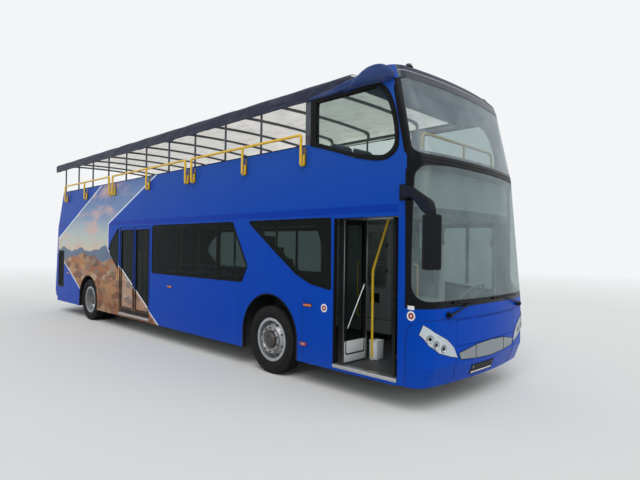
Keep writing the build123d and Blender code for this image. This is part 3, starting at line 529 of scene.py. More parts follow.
class Form:
    def __init__(self):
        self.mesh = bmesh.new()

    def corners(self, places):
        return [self.mesh.verts.new(place) for place in places]

    def face(self, corners, slot=0):
        self.mesh.faces.new(corners).material_index = slot

    def net(self, rows, slot=0, closed=False, looped=False, ends=False):
        # quads between rows of places; closed joins a row's ends, looped joins the last row to the first
        made = [self.corners(row) for row in rows]
        for first, second in zip(made, made[1:] + (made[:1] if looped else [])):
            for i in range(len(first) if closed else len(first) - 1):
                j = (i + 1) % len(first)
                self.face((first[i], first[j], second[j], second[i]), slot)
        if ends:
            self.face(made[0][::-1], slot)
            self.face(made[-1], slot)

    def box(self, low, high, slot=0, edge=0.003, turn=None):
        middle = (Vector(low) + Vector(high)) / 2
        size = Vector(high) - Vector(low)
        stretch = Matrix.Diagonal((abs(size.x), abs(size.y), abs(size.z), 1))
        place = Matrix.Translation(middle) @ (turn or Matrix()) @ stretch
        verts = bmesh.ops.create_cube(self.mesh, size=1, matrix=place)["verts"]
        faces = dict.fromkeys(face for vert in verts for face in vert.link_faces)
        for face in faces:
            face.material_index = slot
        if edge:
            edges = list(dict.fromkeys(side for vert in verts for side in vert.link_edges))
            made = bmesh.ops.bevel(self.mesh, geom=edges, offset=edge, segments=2, affect="EDGES", profile=0.5)
            faces.update(dict.fromkeys(made["faces"]))
        for face in faces:
            if face.is_valid:
                face.material_index = slot

    def block(self, along, across, up, slot=0, edge=0.003):
        # a box given by its spans; along the bus they count from the front axle
        self.box((ahead(along[0]), across[0], up[0]), (ahead(along[1]), across[1], up[1]), slot, edge)

    def blocks(self, rows):
        for row in rows:
            self.block(*row)

    def tube(self, path, radius, slot=0, sides=10, looped=False, flat=(1, 1), start=None):
        # a bar along a path; radius is one value or a list, flat squashes its section across and up
        path = [Vector(place) for place in path]
        rows = []
        side = start and Vector(start)
        for i, place in enumerate(path):
            after = path[(i + 1) % len(path)] if looped else path[min(i + 1, len(path) - 1)]
            before = path[i - 1] if looped else path[max(i - 1, 0)]
            along = (after - before).normalized()
            if side is None:
                side = along.cross(Vector((0, 0, 1)) if abs(along.z) < 0.9 else Vector((1, 0, 0)))
            side = (side - along * side.dot(along)).normalized()
            up = side.cross(along)
            size = radius[i] if isinstance(radius, list) else radius
            rows.append([place + side * (math.cos(turn) * size * flat[0]) + up * (math.sin(turn) * size * flat[1])
                         for turn in (2 * math.pi * k / sides for k in range(sides))])
        self.net(rows, slot, closed=True, looped=looped, ends=not looped)

    def lathe(self, centre, axis, profile, slot=0, steps=48, looped=False):
        # turns a profile of radius and place along the axis
        axis = Vector(axis).normalized()
        side = axis.cross(Vector((0, 0, 1)) if abs(axis.z) < 0.9 else Vector((1, 0, 0))).normalized()
        up = side.cross(axis)
        turns = [2 * math.pi * k / steps for k in range(steps)]
        rows = [[Vector(centre) + axis * along + (side * math.cos(a) + up * math.sin(a)) * max(radius, 1e-5)
                 for a in turns] for radius, along in profile]
        self.net(rows, slot, closed=True, looped=looped)

    def plate(self, rings, at, slot=0):
        # a flat piece with holes; the first ring is its outline, at(u, v, face) a place on face 0 or 1
        triangles = tessellate_polygon([[Vector((u, v, 0)) for u, v in ring] for ring in rings])
        flat = [place for ring in rings for place in ring]
        near, far = (self.corners([at(u, v, face) for u, v in flat]) for face in (0, 1))
        for a, b, c in triangles:
            self.face((near[a], near[b], near[c]), slot)
            self.face((far[c], far[b], far[a]), slot)
        start = 0
        for ring in rings:
            for i in range(len(ring)):
                a, b = start + i, start + (i + 1) % len(ring)
                self.face((near[a], near[b], far[b], far[a]), slot)
            start += len(ring)


def piece(name, form, finishNames, crease=40, body="bus", replaced=()):
    bmesh.ops.remove_doubles(form.mesh, verts=form.mesh.verts, dist=0.00002)
    bmesh.ops.recalc_face_normals(form.mesh, faces=form.mesh.faces)
    mesh = bpy.data.meshes.new(name)
    form.mesh.to_mesh(mesh)
    form.mesh.free()
    for finishName in finishNames:
        mesh.materials.append(finishes[finishName])
    mesh.shade_smooth()
    mesh.set_sharp_from_angle(angle=math.radians(crease))
    made = bpy.data.objects.new(name, mesh)
    bpy.context.scene.collection.objects.link(made)
    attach(made, body)
    if replaced:
        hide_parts(*replaced)
    return made


def inset(outline, amount):
    # an outline moved in by an amount, with its corners still sharp; less than 0 moves it out
    area = sum(a[0] * b[1] - b[0] * a[1] for a, b in zip(outline, outline[1:] + outline[:1]))
    amount = amount if area > 0 else -amount
    moved = []
    for i, corner in enumerate(outline):
        before = (Vector(corner) - Vector(outline[i - 1])).normalized()
        after = (Vector(outline[(i + 1) % len(outline)]) - Vector(corner)).normalized()
        across = (Vector((-before.y, before.x)) + Vector((-after.y, after.x))).normalized()
        reach = amount / max(across.dot(Vector((-before.y, before.x))), 0.3)
        moved.append(tuple(Vector(corner) + across * reach))
    return moved


def rounded(outline, radius, steps=6):
    turned = []
    for i, corner in enumerate(outline):
        corner = Vector(corner)
        before = Vector(outline[i - 1]) - corner
        after = Vector(outline[(i + 1) % len(outline)]) - corner
        half = before.angle(after) / 2
        cut = min(radius / math.tan(half), 0.47 * min(before.length, after.length))
        start, end = corner + before.normalized() * cut, corner + after.normalized() * cut
        middle = corner + (before.normalized() + after.normalized()).normalized() * (cut / math.cos(half))
        first, last = start - middle, end - middle
        swing = first.angle_signed(last)
        for k in range(steps + 1):
            turn = -swing * k / steps
            c, s = math.cos(turn), math.sin(turn)
            turned.append((middle.x + first.x * c - first.y * s, middle.y + first.x * s + first.y * c))
    return turned


def rect(left, right, low, high):
    return [(left, low), (right, low), (right, high), (left, high)]


def rimRings(hole, out, into, outerRadius, innerRadius, steps=4):
    # the outline and the hole of a rim that lies over the edge of an opening
    return [rounded(inset(hole, -out), outerRadius, steps), rounded(inset(hole, into), innerRadius, steps)]


def sideLayer(across, thick, side=1):
    # places for a plate that stands along the bus, given in x and z
    return lambda u, v, face: (ahead(u), side * (across + face * thick), v)


def crossLayer(x, thick):
    # places for a plate that stands across the bus, given in y and z
    return lambda u, v, face: (ahead(x + face * thick), u, v)


def bent(points, radius, steps=5):
    # a path of straight bars with its corners bent
    points = [Vector(p) for p in points]
    path = [points[0]]
    for i in range(1, len(points) - 1):
        before, after = points[i - 1] - points[i], points[i + 1] - points[i]
        start = points[i] + before.normalized() * min(radius, before.length * 0.48)
        end = points[i] + after.normalized() * min(radius, after.length * 0.48)
        for k in range(steps + 1):
            share = k / steps
            path.append(start.lerp(points[i], share).lerp(points[i].lerp(end, share), share))
    return path + [points[-1]]


def flowing(points, steps=6, looped=False):
    # a smooth line through a few places
    points = [Vector(p) for p in points]
    count = len(points)
    line = []
    for i in range(count if looped else count - 1):
        if looped:
            a, b, c, d = points[i - 1], points[i], points[(i + 1) % count], points[(i + 2) % count]
        else:
            a, b, c, d = points[max(i - 1, 0)], points[i], points[i + 1], points[min(i + 2, count - 1)]
        for k in range(steps):
            t = k / steps
            line.append(0.5 * (2 * b + (c - a) * t + (2 * a - 5 * b + 4 * c - d) * t * t
                               + (3 * b - a - 3 * c + d) * t ** 3))
    if not looped:
        line.append(points[-1])
    return line


# Wheels: tyres with ribs and grooves, and bolted rims

tyreSet = {"steps": 144, "tread": 0.4785, "shoulder": 0.118, "bulge": 0.1375, "bead": 0.287, "groove": 0.011,
           "grooveHalf": 0.005, "grooves": (-0.074, -0.026, 0.026, 0.074), "notch": 0.007}


def tyreForm(form, centre, outward):
    t = tyreSet
    profile = [(t["bead"], -0.095), (t["bead"] + 0.012, -0.104), (0.318, -0.112), (0.352, -0.132),
               (0.385, -t["bulge"]), (0.392, -t["bulge"]), (0.396, -0.1355), (0.432, -0.1285),
               (0.456, -t["shoulder"] - 0.003)]
    treadRows = [(t["tread"] - 0.009, -t["shoulder"]), (t["tread"] - 0.002, -0.106)]
    for middle in t["grooves"]:
        g = t["grooveHalf"]
        treadRows += [(t["tread"], middle - g - 0.001), (t["tread"] - t["groove"], middle - g),
                      (t["tread"] - t["groove"], middle + g), (t["tread"], middle + g + 0.001)]
    treadRows += [(t["tread"] - 0.002, 0.106), (t["tread"] - 0.009, t["shoulder"])]
    rows = profile + treadRows + [(radius, -along) for radius, along in reversed(profile)]
    first, last = len(profile), len(profile) + len(treadRows) - 1
    net = []
    for index, (radius, along) in enumerate(rows):
        edge = index in (first - 1, first, first + 1, last - 1, last, last + 1)
        row = []
        for k in range(t["steps"]):
            turn = 2 * math.pi * k / t["steps"]
            size = radius - (t["notch"] if edge and k % 4 == 0 else 0)
            row.append((centre[0] + size * math.cos(turn), centre[1] + outward * along,
                        centre[2] + size * math.sin(turn)))
        net.append(row)
    form.net(net, 0, closed=True, looped=True)


wheelSet = {"nuts": 10, "nutCircle": 0.1675, "nutHalf": 0.0135, "frontFace": 1.215, "rearFace": 0.954,
            "guardRings": ([(0.147, 0.0005), (0.149, 0.004), (0.155, 0.006), (0.157, 0.004), (0.157, 0.0005)],
                           [(0.179, 0.0005), (0.179, 0.004), (0.183, 0.005), (0.186, 0.003), (0.186, 0.0005)]),
            "capBolts": 8, "capCircle": 0.055, "capFace": 0.15, "capBolt": rect(0, 0.008, 0, 0.006)}


def nut(form, centre, outward, length, slot):
    # a six-sided nut with a stud end and a washer
    for radius, start, end, sides in ((0.0205, 0, 0.003, 16), (wheelSet["nutHalf"] * 1.15, 0.003, length, 6),
                                      (0.0085, length, length + 0.008, 10)):
        form.lathe(centre, (0, outward, 0), rect(0, radius, start, end), slot, sides)


def hubCircle(axle, y, radius, count, shift):
    turns = [2 * math.pi * (k + shift) / count for k in range(count)]
    return [(axle + radius * math.cos(turn), y, hubHeight + radius * math.sin(turn)) for turn in turns]


def wheels():
    s = wheelSet
    for side, name in ((1, "left"), (-1, "right")):
        form = Form()
        tyreForm(form, (frontAxle, side * trackHalf, hubHeight), side)
        piece("frontTyre_" + name, form, ["tyreRubber"], 28, body="front_%s_wheel" % name,
              replaced=["front_tyre_" + name])
        form = Form()
        for place in (-1, 1):
            tyreForm(form, (rearAxle, side * (pairMiddle + place * pairHalf), hubHeight), side)
        piece("rearTyres_" + name, form, ["tyreRubber"], 28, body="rear_%s_wheels" % name,
              replaced=["rear_tyres_" + name])
        for body, axle, face, length in (("front_%s_wheel" % name, frontAxle, s["frontFace"], 0.006),
                                         ("rear_%s_wheels" % name, rearAxle, s["rearFace"], 0.024)):
            form = Form()
            for spot in hubCircle(axle, side * face, s["nutCircle"], s["nuts"], 0.5):
                nut(form, spot, side, length, 0)
            if length < 0.01:
                # the front nuts sit in a bright guard ring, under a greasy hub cap
                for ring in s["guardRings"]:
                    form.lathe((axle, side * face, hubHeight), (0, side, 0), ring, 1, 64)
                for spot in hubCircle(axle, side * (trackHalf + s["capFace"]), s["capCircle"], s["capBolts"], 0):
                    form.lathe(spot, (0, side, 0), s["capBolt"], 0, 6)
            valve = [(axle + 0.2, side * (face - 0.03), hubHeight + 0.13),
                     (axle + 0.21, side * (face + 0.01), hubHeight + 0.14)]
            form.tube(valve, 0.005, 1, 8)
            piece("wheelNuts_" + body, form, ["castIron", "satinAlloy"], 30, body=body)


# Windows: black borders behind the glass, rubber seals on the joint, and bars inside

windowSet = {"glassInner": 1.2405, "borderThick": 0.001, "sealRadius": 0.006, "barIn": 1.20, "barOut": 1.236}
noseWindow = [(-0.51, 2.16), (1.185, 2.16), (1.2, 1.262), (0.83, 1.32), (0.56, 1.43), (0.12, 1.72)]
noseClear = [(-0.33, 2.075), (0.90, 2.075), (1.01, 1.85), (1.01, 1.37), (0.83, 1.395), (0.60, 1.49), (0.17, 1.79)]
longWindow = [(-3.5, 2.16), (-0.89, 2.16), (-0.5, 1.5), (-0.64, 1.255), (-3.5, 1.255)]
tailWindow = [(-5.01, 2.15), (-5.01, 1.25), (-5.44, 1.58), (-5.5, 1.68), (-5.4, 1.86)]
doorSideWindow = rect(-4.93, -3.62, 2.16, 1.255)
cabWindow = [(1.27, 2.16), (2.15, 2.16), (2.15, 1.15), (1.27, 1.24)]
# the frame of the D-shaped window: its outer line, the ridge and the line where the glass shows, each from
# the rear lower corner
deckFrame = [
    [(0.81, 3.100), (1.022, 3.043), (1.32, 2.948), (1.666, 2.838), (1.984, 2.79), (2.165, 2.87), (2.202, 3.02),
     (2.165, 3.30), (2.06, 3.56), (1.93, 3.685), (0.81, 3.685)],
    [(0.85, 3.112), (1.035, 3.055), (1.33, 2.956), (1.672, 2.852), (1.984, 2.808), (2.15, 2.882),
     (2.186, 3.02), (2.150, 3.295), (2.045, 3.55), (1.918, 3.672), (0.85, 3.672)],
    [(0.915, 3.122), (1.098, 3.062), (1.391, 2.960), (1.698, 2.885), (1.970, 2.846), (2.108, 2.905),
     (2.150, 3.03), (2.105, 3.30), (2.01, 3.52), (1.895, 3.642), (0.915, 3.648)]]
# columns: side, outline, its clear part if that has a shape of its own, corner radius, the bars inside
windows = [(side,) + rest for side in (-1, 1) for rest in (
    (noseWindow, noseClear, 0.022, ()), (longWindow, None, 0.06, (-2.1, -1.3)), (tailWindow, None, 0.03, ()))]
windows += [(1, doorSideWindow, None, 0.06, (-4.27,)), (1, cabWindow, None, 0.06, (1.72,))]


def sideWindows():
    s = windowSet
    borders, seals = Form(), Form()
    for side, outline, clear, radius, bars in windows:
        inner = rounded(clear or inset(outline, 0.045), 0.07 if clear else 0.05)
        layer = sideLayer(s["glassInner"], -s["borderThick"], side)
        borders.plate([rounded(inset(outline, -0.004), radius), inner], layer)
        for x in bars:
            borders.block((x - 0.022, x + 0.022), (side * s["barIn"], side * s["barOut"]), (1.27, 2.15), 0, 0.004)
        edge = [(ahead(u), side * (sideY - 0.001), v) for u, v in rounded(outline, radius)]
        seals.tube(edge, s["sealRadius"], 0, 8, looped=True)
    piece("windowBorders", borders, ["blackEnamel"], 35)
    piece("windowSeals", seals, ["blackRubber"], 35)
    frames = Form()
    for side in (1, -1):
        outer, ridge, inner = [[tuple(p) for p in flowing(line[:-1], 5)] + [line[-1]] for line in deckFrame]
        frames.plate([outer, inner], sideLayer(sideY + 0.0003, 0.009, side))
        frames.plate([ridge, inner], sideLayer(sideY + 0.0093, 0.005, side))
        sill = [(ahead(u), side * (sideY - 0.03), v) for u, v in inner]
        frames.tube(sill, 0.012, 0, 8, looped=True)
    piece("deckWindowFrames", frames, ["blackRubber"], 35)


# Sides: arch lips, door sills and the cap on the waist

sideSet = {"lip": 0.010, "archFront": (0.0, 0.59, 1.12), "archRear": (-6.65, 0.535, 1.04), "sill": 0.29,
           "doorSpans": ((1.245, 2.2), (-4.945, -3.575)), "capSpan": (-8.36, 0.698), "capIn": 1.186,
           "capOut": 1.2535, "capTop": 3.134, "treadIn": -1.17, "treadOut": -1.2585, "treadTop": 0.3655,
           "ribs": 3, "ribStep": 0.011}


def sideTrim():
    s = sideSet
    form = Form()
    for side in (1, -1):
        for middle, half, top in (s["archFront"], s["archRear"]):
            path = [(ahead(middle - half), side * sideY, s["sill"] + 0.004)]
            for k in range(33):
                turn = math.pi * (1 - k / 32)
                path.append((ahead(middle + half * math.cos(turn)), side * sideY,
                             top - half + half * math.sin(turn)))
            path.append((ahead(middle + half), side * sideY, s["sill"] + 0.004))
            form.tube(path, s["lip"], 0, 8)
        form.block(s["capSpan"], (side * s["capIn"], side * s["capOut"]), (waistZ, s["capTop"]), 0, 0.005)
    piece("archLips", form, ["blackRubber"], 35)
    form = Form()
    for start, end in s["doorSpans"]:
        form.block((start, end), (s["treadOut"], -1.2503), (0.322, s["treadTop"]), 0, 0.003)
        form.block((start, end), (s["treadOut"], s["treadIn"]), (s["treadTop"] - 0.0051, s["treadTop"]), 0, 0.002)
        for k in range(s["ribs"]):
            low = 0.33 + k * s["ribStep"]
            form.block((start, end), (s["treadOut"] - 0.003, -1.258), (low, low + 0.005), 0, 0.001)
    piece("doorSills", form, ["satinAlloy"], 35)


# Stickers with nothing written on them, and lamps on the sides

spotSet = {"discs": ((2.379, 1.071, 0.052), (1.085, 1.03, 0.052)), "label": (2.378, 1.158, 0.042, 0.021),
           "rings": ((1, 0, 0.0012), (0.68, 1, 0.0018), (0.22, 0, 0.0022)), "lamp": (0.72, 0.53),
           "lampHalf": (0.06, 0.024), "lampThick": 0.012, "markers": (0.79, -2.8, -5.3, -8.0),
           "markerZ": (1.017, 1.063), "markerHalf": 0.078}


def sideSpots():
    s = spotSet
    form = Form()
    for x, z, radius in s["discs"]:
        for share, slot, rise in s["rings"]:
            ring = [(radius * share, 0), (radius * share, rise), (0, rise)]
            form.lathe((ahead(x), -sideY, z), (0, -1, 0), ring, slot, 40)
    x, z, wide, high = s["label"]
    form.block((x - wide, x + wide), (-sideY - 0.0014, -sideY), (z - high, z + high), 0, 0.0004)
    piece("stickers", form, ["whiteLabel", "redLabel"], 35)
    form = Form()
    for side in (1, -1):
        (x, z), (wide, high) = s["lamp"], s["lampHalf"]
        lamp = rounded(rect(x - wide, x + wide, z - high, z + high), 0.022)
        form.plate([lamp], sideLayer(sideY + 0.0004, s["lampThick"], side), 0)
        bulb = [(0.014, 0), (0.011, 0.004), (0, 0.005)]
        form.lathe((ahead(x), side * (sideY + s["lampThick"]), z), (0, side, 0), bulb, 1, 24)
        for x in s["markers"]:
            base = rounded(rect(x - s["markerHalf"], x + s["markerHalf"], *s["markerZ"]), 0.01)
            form.plate([base], sideLayer(sideY + 0.0003, 0.004, side), 2)
    piece("sideLamps", form, ["redLens", "clearLens", "blackPlastic"], 35)


railSet = {"rows": ((-2.0, 0.7, (-0.57,)), (-5.2, -2.2, (-3.64,)), (-8.1, -5.37, (-6.8,))), "radius": 0.019,
           "inner": 0.022, "outer": 0.075, "top": 3.25, "foot": 2.86, "hook": 0.14, "padHalf": 0.03,
           "padTop": 3.10, "bend": 0.026}
guardSet = {"radius": 0.017, "deck": 2.2405, "frontX": 2.25, "frontHalf": 0.88, "frontTop": 3.13,
            "stairY": 0.51, "stairSpan": (-3.06, -1.15), "stairTop": 3.09, "bend": 0.09,
            "foot": [(0.04, 0.0), (0.04, 0.006), (0.024, 0.012), (0.0175, 0.014)]}


def sideRails():
    # rails of bent bars outside the waist; each leg turns up again against its dark plate
    s = railSet
    form = Form()
    for side in (1, -1):
        near, far = side * (sideY + s["inner"]), side * (sideY + s["outer"])

        def leg(x):
            return [(ahead(x), near, s["foot"] + s["hook"]), (ahead(x), near, s["foot"]),
                    (ahead(x), far, s["foot"])]
        for rear, front, posts in s["rows"]:
            bar = leg(rear) + [(ahead(rear), far, s["top"]), (ahead(front), far, s["top"])] + leg(front)[::-1]
            form.tube(bent(bar, s["bend"]), s["radius"], 0, 14)
            for x in posts:
                post = leg(x) + [(ahead(x), far, s["top"] - s["radius"] * 0.5)]
                form.tube(bent(post, s["bend"]), s["radius"], 0, 14)
            for x in (rear, front) + posts:
                wall, out = side * (sideY + 0.0003), side * (sideY + 0.0065)
                form.block((x - s["padHalf"], x + s["padHalf"]), (wall, out),
                           (s["foot"] - 0.01, s["padTop"]), 0, 0.002)
    piece("railBars", form, ["railCoat"], 50, replaced=["outer_rails"])


def deckGuards():
    # bars on the upper deck, behind the windscreen and beside the stairs
    s = guardSet
    form = Form()
    x, half, top, deck = ahead(s["frontX"]), s["frontHalf"], s["frontTop"], s["deck"]
    hoop = [(x, -half, deck), (x, -half, top), (x, half, top), (x, half, deck)]
    form.tube(bent(hoop, s["bend"]), s["radius"], 0, 14)
    form.tube([(x, 0.1, deck), (x, 0.1, top)], s["radius"] - 0.001, 0, 12)
    rear, front = ahead(s["stairSpan"][0]), ahead(s["stairSpan"][1])
    y, top = s["stairY"], s["stairTop"]
    hoop = [(rear, y, deck), (rear, y, top), (front, y, top), (front, y, deck)]
    form.tube(bent(hoop, s["bend"]), s["radius"], 0, 14)
    form.tube([(rear, y, deck + 0.42), (front, y, deck + 0.42)], s["radius"] - 0.004, 0, 12)
    form.tube([((rear + front) / 2, y, deck), ((rear + front) / 2, y, top)], s["radius"] - 0.001, 0, 12)
    for spot in ((x, -half), (x, half), (x, 0.1), (rear, y), (front, y), ((rear + front) / 2, y)):
        form.lathe((*spot, deck), (0, 0, 1), s["foot"], 1, 24)
    piece("deckGuards", form, ["yellowCoat", "satinAlloy"], 50)


wheels()
sideRails()
deckGuards()
sideWindows()
sideTrim()
sideSpots()
print("stage: wheels, windows and side trim made")


# The nose and the tail seen from above are wide bows with round corners, and their reach changes with height

tailSet = {"way": -1, "bow": 8.0, "corner": 0.15, "rows": [(0.4, 9.05), (0.55, 9.13), (2.2, 9.01), (3.12, 8.64)]}
noseSet = {"way": 1, "bow": 6.5, "corner": 0.2,
           "rows": [(0.3, 2.6), (0.52, 2.68), (1.1, 2.68), (2.76, 2.53), (3.72, 2.31), (3.86, 2.255)]}


def endFacing(y, z, end=noseSet):
    # how far the nose, or another end, reaches there, and how far round it faces
    rows = end["rows"]
    low, high = next((pair for pair in zip(rows, rows[1:]) if z <= pair[1][0]), rows[-2:])
    reach = low[1] + (high[1] - low[1]) * (max(z, rows[0][0]) - low[0]) / (high[0] - low[0])
    bow, corner = end["bow"], end["corner"]
    bowX, cornerY = reach - bow, sideY - corner
    cornerX = bowX + math.sqrt((bow - corner) ** 2 - cornerY ** 2)
    if abs(y) < bow * math.sin(math.atan2(cornerY, cornerX - bowX)):
        turn = math.asin(abs(y) / bow)
        x = bowX + bow * math.cos(turn)
    else:
        turn = math.asin(min((abs(y) - cornerY) / corner, 1.0))
        x = cornerX + corner * math.cos(turn)
    return x, math.copysign(turn, y)


def skinAxis(y, z, end=noseSet):
    turn = endFacing(y, z, end)[1]
    return Vector((end["way"] * math.cos(turn), math.sin(turn), 0))


def skin(y, z, out=0.0, end=noseSet):
    x = endFacing(y, z, end)[0]
    return Vector((ahead(end["way"] * x), y, z)) + skinAxis(y, z, end) * out


def along(points, share):
    # the place at a share of a line's length
    points = [Vector(p) for p in points]
    spans = [(b - a).length for a, b in zip(points, points[1:])]
    left = share * sum(spans)
    for a, b, span in zip(points, points[1:], spans):
        if left <= span:
            return a.lerp(b, left / span)
        left -= span
    return points[-1]


def drapedLine(points, out, end=noseSet, step=0.03):
    # a line over the nose or the tail between places y, z
    line = []
    for a, b in zip(points, points[1:]):
        a, b = Vector(a), Vector(b)
        count = max(1, int((b - a).length / step))
        line += [skin(*a.lerp(b, k / count), out, end) for k in range(count)]
    return line + [skin(*points[-1], out, end)]


def drapedLoop(form, points, out, radius, slot, sides=8, end=noseSet, step=0.03):
    form.tube(drapedLine(points + points[:1], out, end, step)[:-1], radius, slot, sides, looped=True)


def drapedBand(form, z, out, radius, slot, sides):
    # a line at one height, right across the nose
    form.tube(drapedLine([(y / 20, z) for y in range(-24, 25)], out), radius, slot, sides)


def drapedSlab(form, ySpan, zSpan, outSpan, slot, steps=10, end=noseSet):
    rows = []
    for k in range(steps + 1):
        y = ySpan[0] + (ySpan[1] - ySpan[0]) * k / steps
        rows.append([skin(y, z, out, end) for z, out in ((zSpan[0], outSpan[0]), (zSpan[0], outSpan[1]),
                                                         (zSpan[1], outSpan[1]), (zSpan[1], outSpan[0]))])
    form.net(rows, slot, closed=True, ends=True)


lampSet = {"upper": [(1.215, 0.985), (1.11, 0.905), (0.9, 0.805), (0.79, 0.712), (0.722, 0.592)],
           "lower": [(1.215, 0.985), (1.235, 0.88), (1.17, 0.765), (1.04, 0.675), (0.84, 0.615), (0.722, 0.592)],
           "bowls": [(1.16, 0.836, 0.036), (1.085, 0.768, 0.038), (0.965, 0.716, 0.038)], "face": 0.004,
           "cover": 0.0108, "dish": [(0.56, 0.0044), (0.7, 0.0048), (0.86, 0.0062), (0.98, 0.0086)],
           "bulb": [(0.56, 0.0046), (0.5, 0.0058), (0.3, 0.0072), (0, 0.0078)],
           "ring": [(0.96, 0.0082), (1.02, 0.0092), (1.14, 0.0088), (1.18, 0.004)]}


def headlampDress():
    s = lampSet
    covers, rims, bowls = Form(), Form(), Form()
    for side in (1, -1):
        rows = []
        for i in range(29):
            top, bottom = along(s["upper"], i / 28), along(s["lower"], i / 28)
            row = []
            for k in range(9):
                y, z = top.lerp(bottom, k / 8)
                rise = s["cover"] if 0 < k < 8 else s["face"] - 0.001
                row.append(skin(side * y, z, rise))
            rows.append(row)
        covers.net(rows, 0)
        outline = s["upper"] + s["lower"][-2:0:-1]
        drapedLoop(rims, [(side * y, z) for y, z in outline], s["face"] - 0.0025, 0.0036, 0, step=0.02)
        for y, z, radius in s["bowls"]:
            for slot, name, steps in ((0, "dish", 40), (1, "bulb", 32), (2, "ring", 40)):
                profile = [(radius * share, rise) for share, rise in s[name]]
                bowls.lathe(skin(side * y, z), skinAxis(side * y, z), profile, slot, steps)
    piece("lampCovers", covers, ["lampCover"], 50)
    piece("lampRims", rims, ["blackRubber"], 50)
    piece("lampBowls", bowls, ["brightSteel", "blackEnamel", "greyTrim"])


noseTrimSet = {
    # joint line of the bumper from the middle out, y and z, then down the side, x and z
    "bumperFront": [(0.0, 1.016), (0.3, 1.017), (0.607, 1.021), (0.9, 1.029), (1.1, 1.031), (1.194, 1.026),
                    (1.235, 1.01), (1.2495, 0.99)],
    "bumperSide": [(2.372, 0.967), (2.33, 0.916), (2.311, 0.852), (2.311, 0.7), (2.311, 0.3)],
    "corner": [(0.735, 0.588), (0.748, 0.47), (0.70, 0.318)], "joint": 0.0026,
    "trim": [(0, 0.712), (0.33, 0.7), (0.7, 0.64), (0.66, 0.565), (0.33, 0.54), (0, 0.53), (-0.33, 0.54),
             (-0.66, 0.565), (-0.7, 0.64), (-0.33, 0.7)],
    "plate": (-0.40, 0.13, 0.345, 0.462),
    # seals round the screens: height, rise, radius, slot, sides; and the brow: its span up, its rise and slot
    "seals": [(3.796, 0.001, 0.0055, 0, 8), (2.742, 0.0, 0.0045, 1, 8), (2.789, 0.0, 0.0045, 1, 8)],
    "brow": [(3.702, 3.72, 0.0022, 2), (3.72, 3.792, 0.0022, 2), (3.80, 3.858, 0.0018, 3)], "browHalf": 1.236,
    "roof": 3.902, "lampFoot": [(0.05, -0.004), (0.05, 0.006), (0.042, 0.009), (0.036, 0.009)],
    "aerial": [(0.03, -0.003), (0.028, 0.008), (0.012, 0.014), (0.006, 0.028), (0.005, 0.036), (0, 0.037)]}


def noseTrim():
    s = noseTrimSet
    form = Form()
    for side in (1, -1):
        line = drapedLine([(side * y, z) for y, z in s["bumperFront"]], 0.0004)
        line += [Vector((ahead(x), side * (sideY + 0.0004), z)) for x, z in s["bumperSide"]]
        form.tube(line, s["joint"], 0, 6)
        form.tube(drapedLine([(side * y, z) for y, z in s["corner"]], 0.0004), s["joint"], 0, 6)
        form.tube(drapedLine([(side * 0.36, z) for z in (0.705, 0.541)], 0.0075), 0.003, 0, 6)
    drapedLoop(form, s["trim"], 0.004, 0.0042, 0)
    piece("noseJoints", form, ["blackRubber"], 50)
    form = Form()
    low, high, foot, head = s["plate"]
    drapedSlab(form, (low, high), (foot, head), (-0.002, 0.006), 0)
    drapedSlab(form, (low + 0.012, high - 0.012), (foot + 0.012, head - 0.01), (0.005, 0.0075), 0)
    drapedSlab(form, (low + 0.02, high - 0.02), (foot + 0.014, foot + 0.03), (0.007, 0.0085), 1)
    for spot in ((low + 0.04, head - 0.03), (high - 0.04, head - 0.03)):
        form.lathe(skin(*spot, 0.007), skinAxis(*spot), [(0.006, 0), (0.006, 0.002), (0.0, 0.003)], 1, 12)
    piece("plateHolder", form, ["blankPlate", "whiteLabel"])
    form = Form()
    # a pale seal under the brow, two more round the divider, and the head of the upper screen
    for seal in s["seals"]:
        drapedBand(form, *seal)
    for low, high, rise, slot in s["brow"]:
        drapedSlab(form, (-s["browHalf"], s["browHalf"]), (low, high), (0.0002, rise), slot, 60)
    piece("screenSeals", form, ["paleTrim", "blackRubber", "browGlass", "browNavy"], 50)
    form = Form()
    for side in (1, -1):
        form.lathe((ahead(2.095), side * 0.93, s["roof"]), (0, 0, 1), s["lampFoot"], 0, 32)
    form.lathe((ahead(2.06), 0.0, s["roof"]), (0, 0, 1), s["aerial"], 0, 28)
    piece("roofFittings", form, ["blackPlastic"])


mirrorSet = {"reach": 2.9292, "out": 1.7418, "left": 2.075, "foot": 1.6, "top": 2.11, "turn": 60, "wide": 0.18,
             "deep": 0.085, "round": 0.03, "armIn": 2.262, "thick": 0.06, "edge": 0.72,
             "glasses": ((1.626, 1.765), (1.777, 2.084)), "glassHalf": 0.076,
             "ends": ((0, 0.82), (0.004, 0.92), (0.012, 0.985), (0.022, 1.0)),
             "collar": [(0.03, -0.004), (0.03, 0.012), (0.022, 0.02), (0, 0.02)],
             "arm": [(0, 2.48), (0.29, 2.436), (0.73, 2.309), (0.97, 2.235), (1.05, 2.15), (1.05, 2.10),
                     (0.95, 2.10), (0.73, 2.165), (0.45, 2.29), (0.29, 2.33), (0.0, 2.335)]}


def headRows(middle, turn):
    # rings of a tall mirror head with round corners, drawn in at both ends
    s = mirrorSet
    outline = rounded(rect(-s["wide"] / 2, s["wide"] / 2, -s["deep"] / 2, s["deep"] / 2), s["round"], 6)
    rows = [(s["foot"] + drop, share) for drop, share in s["ends"]]
    rows += [(s["top"] - drop, share) for drop, share in s["ends"][::-1]]
    return [[middle + turn @ Vector((u * share, v * (share * 0.8 + 0.2), 0)) + Vector((0, 0, z))
             for u, v in outline]
            for z, share in rows]


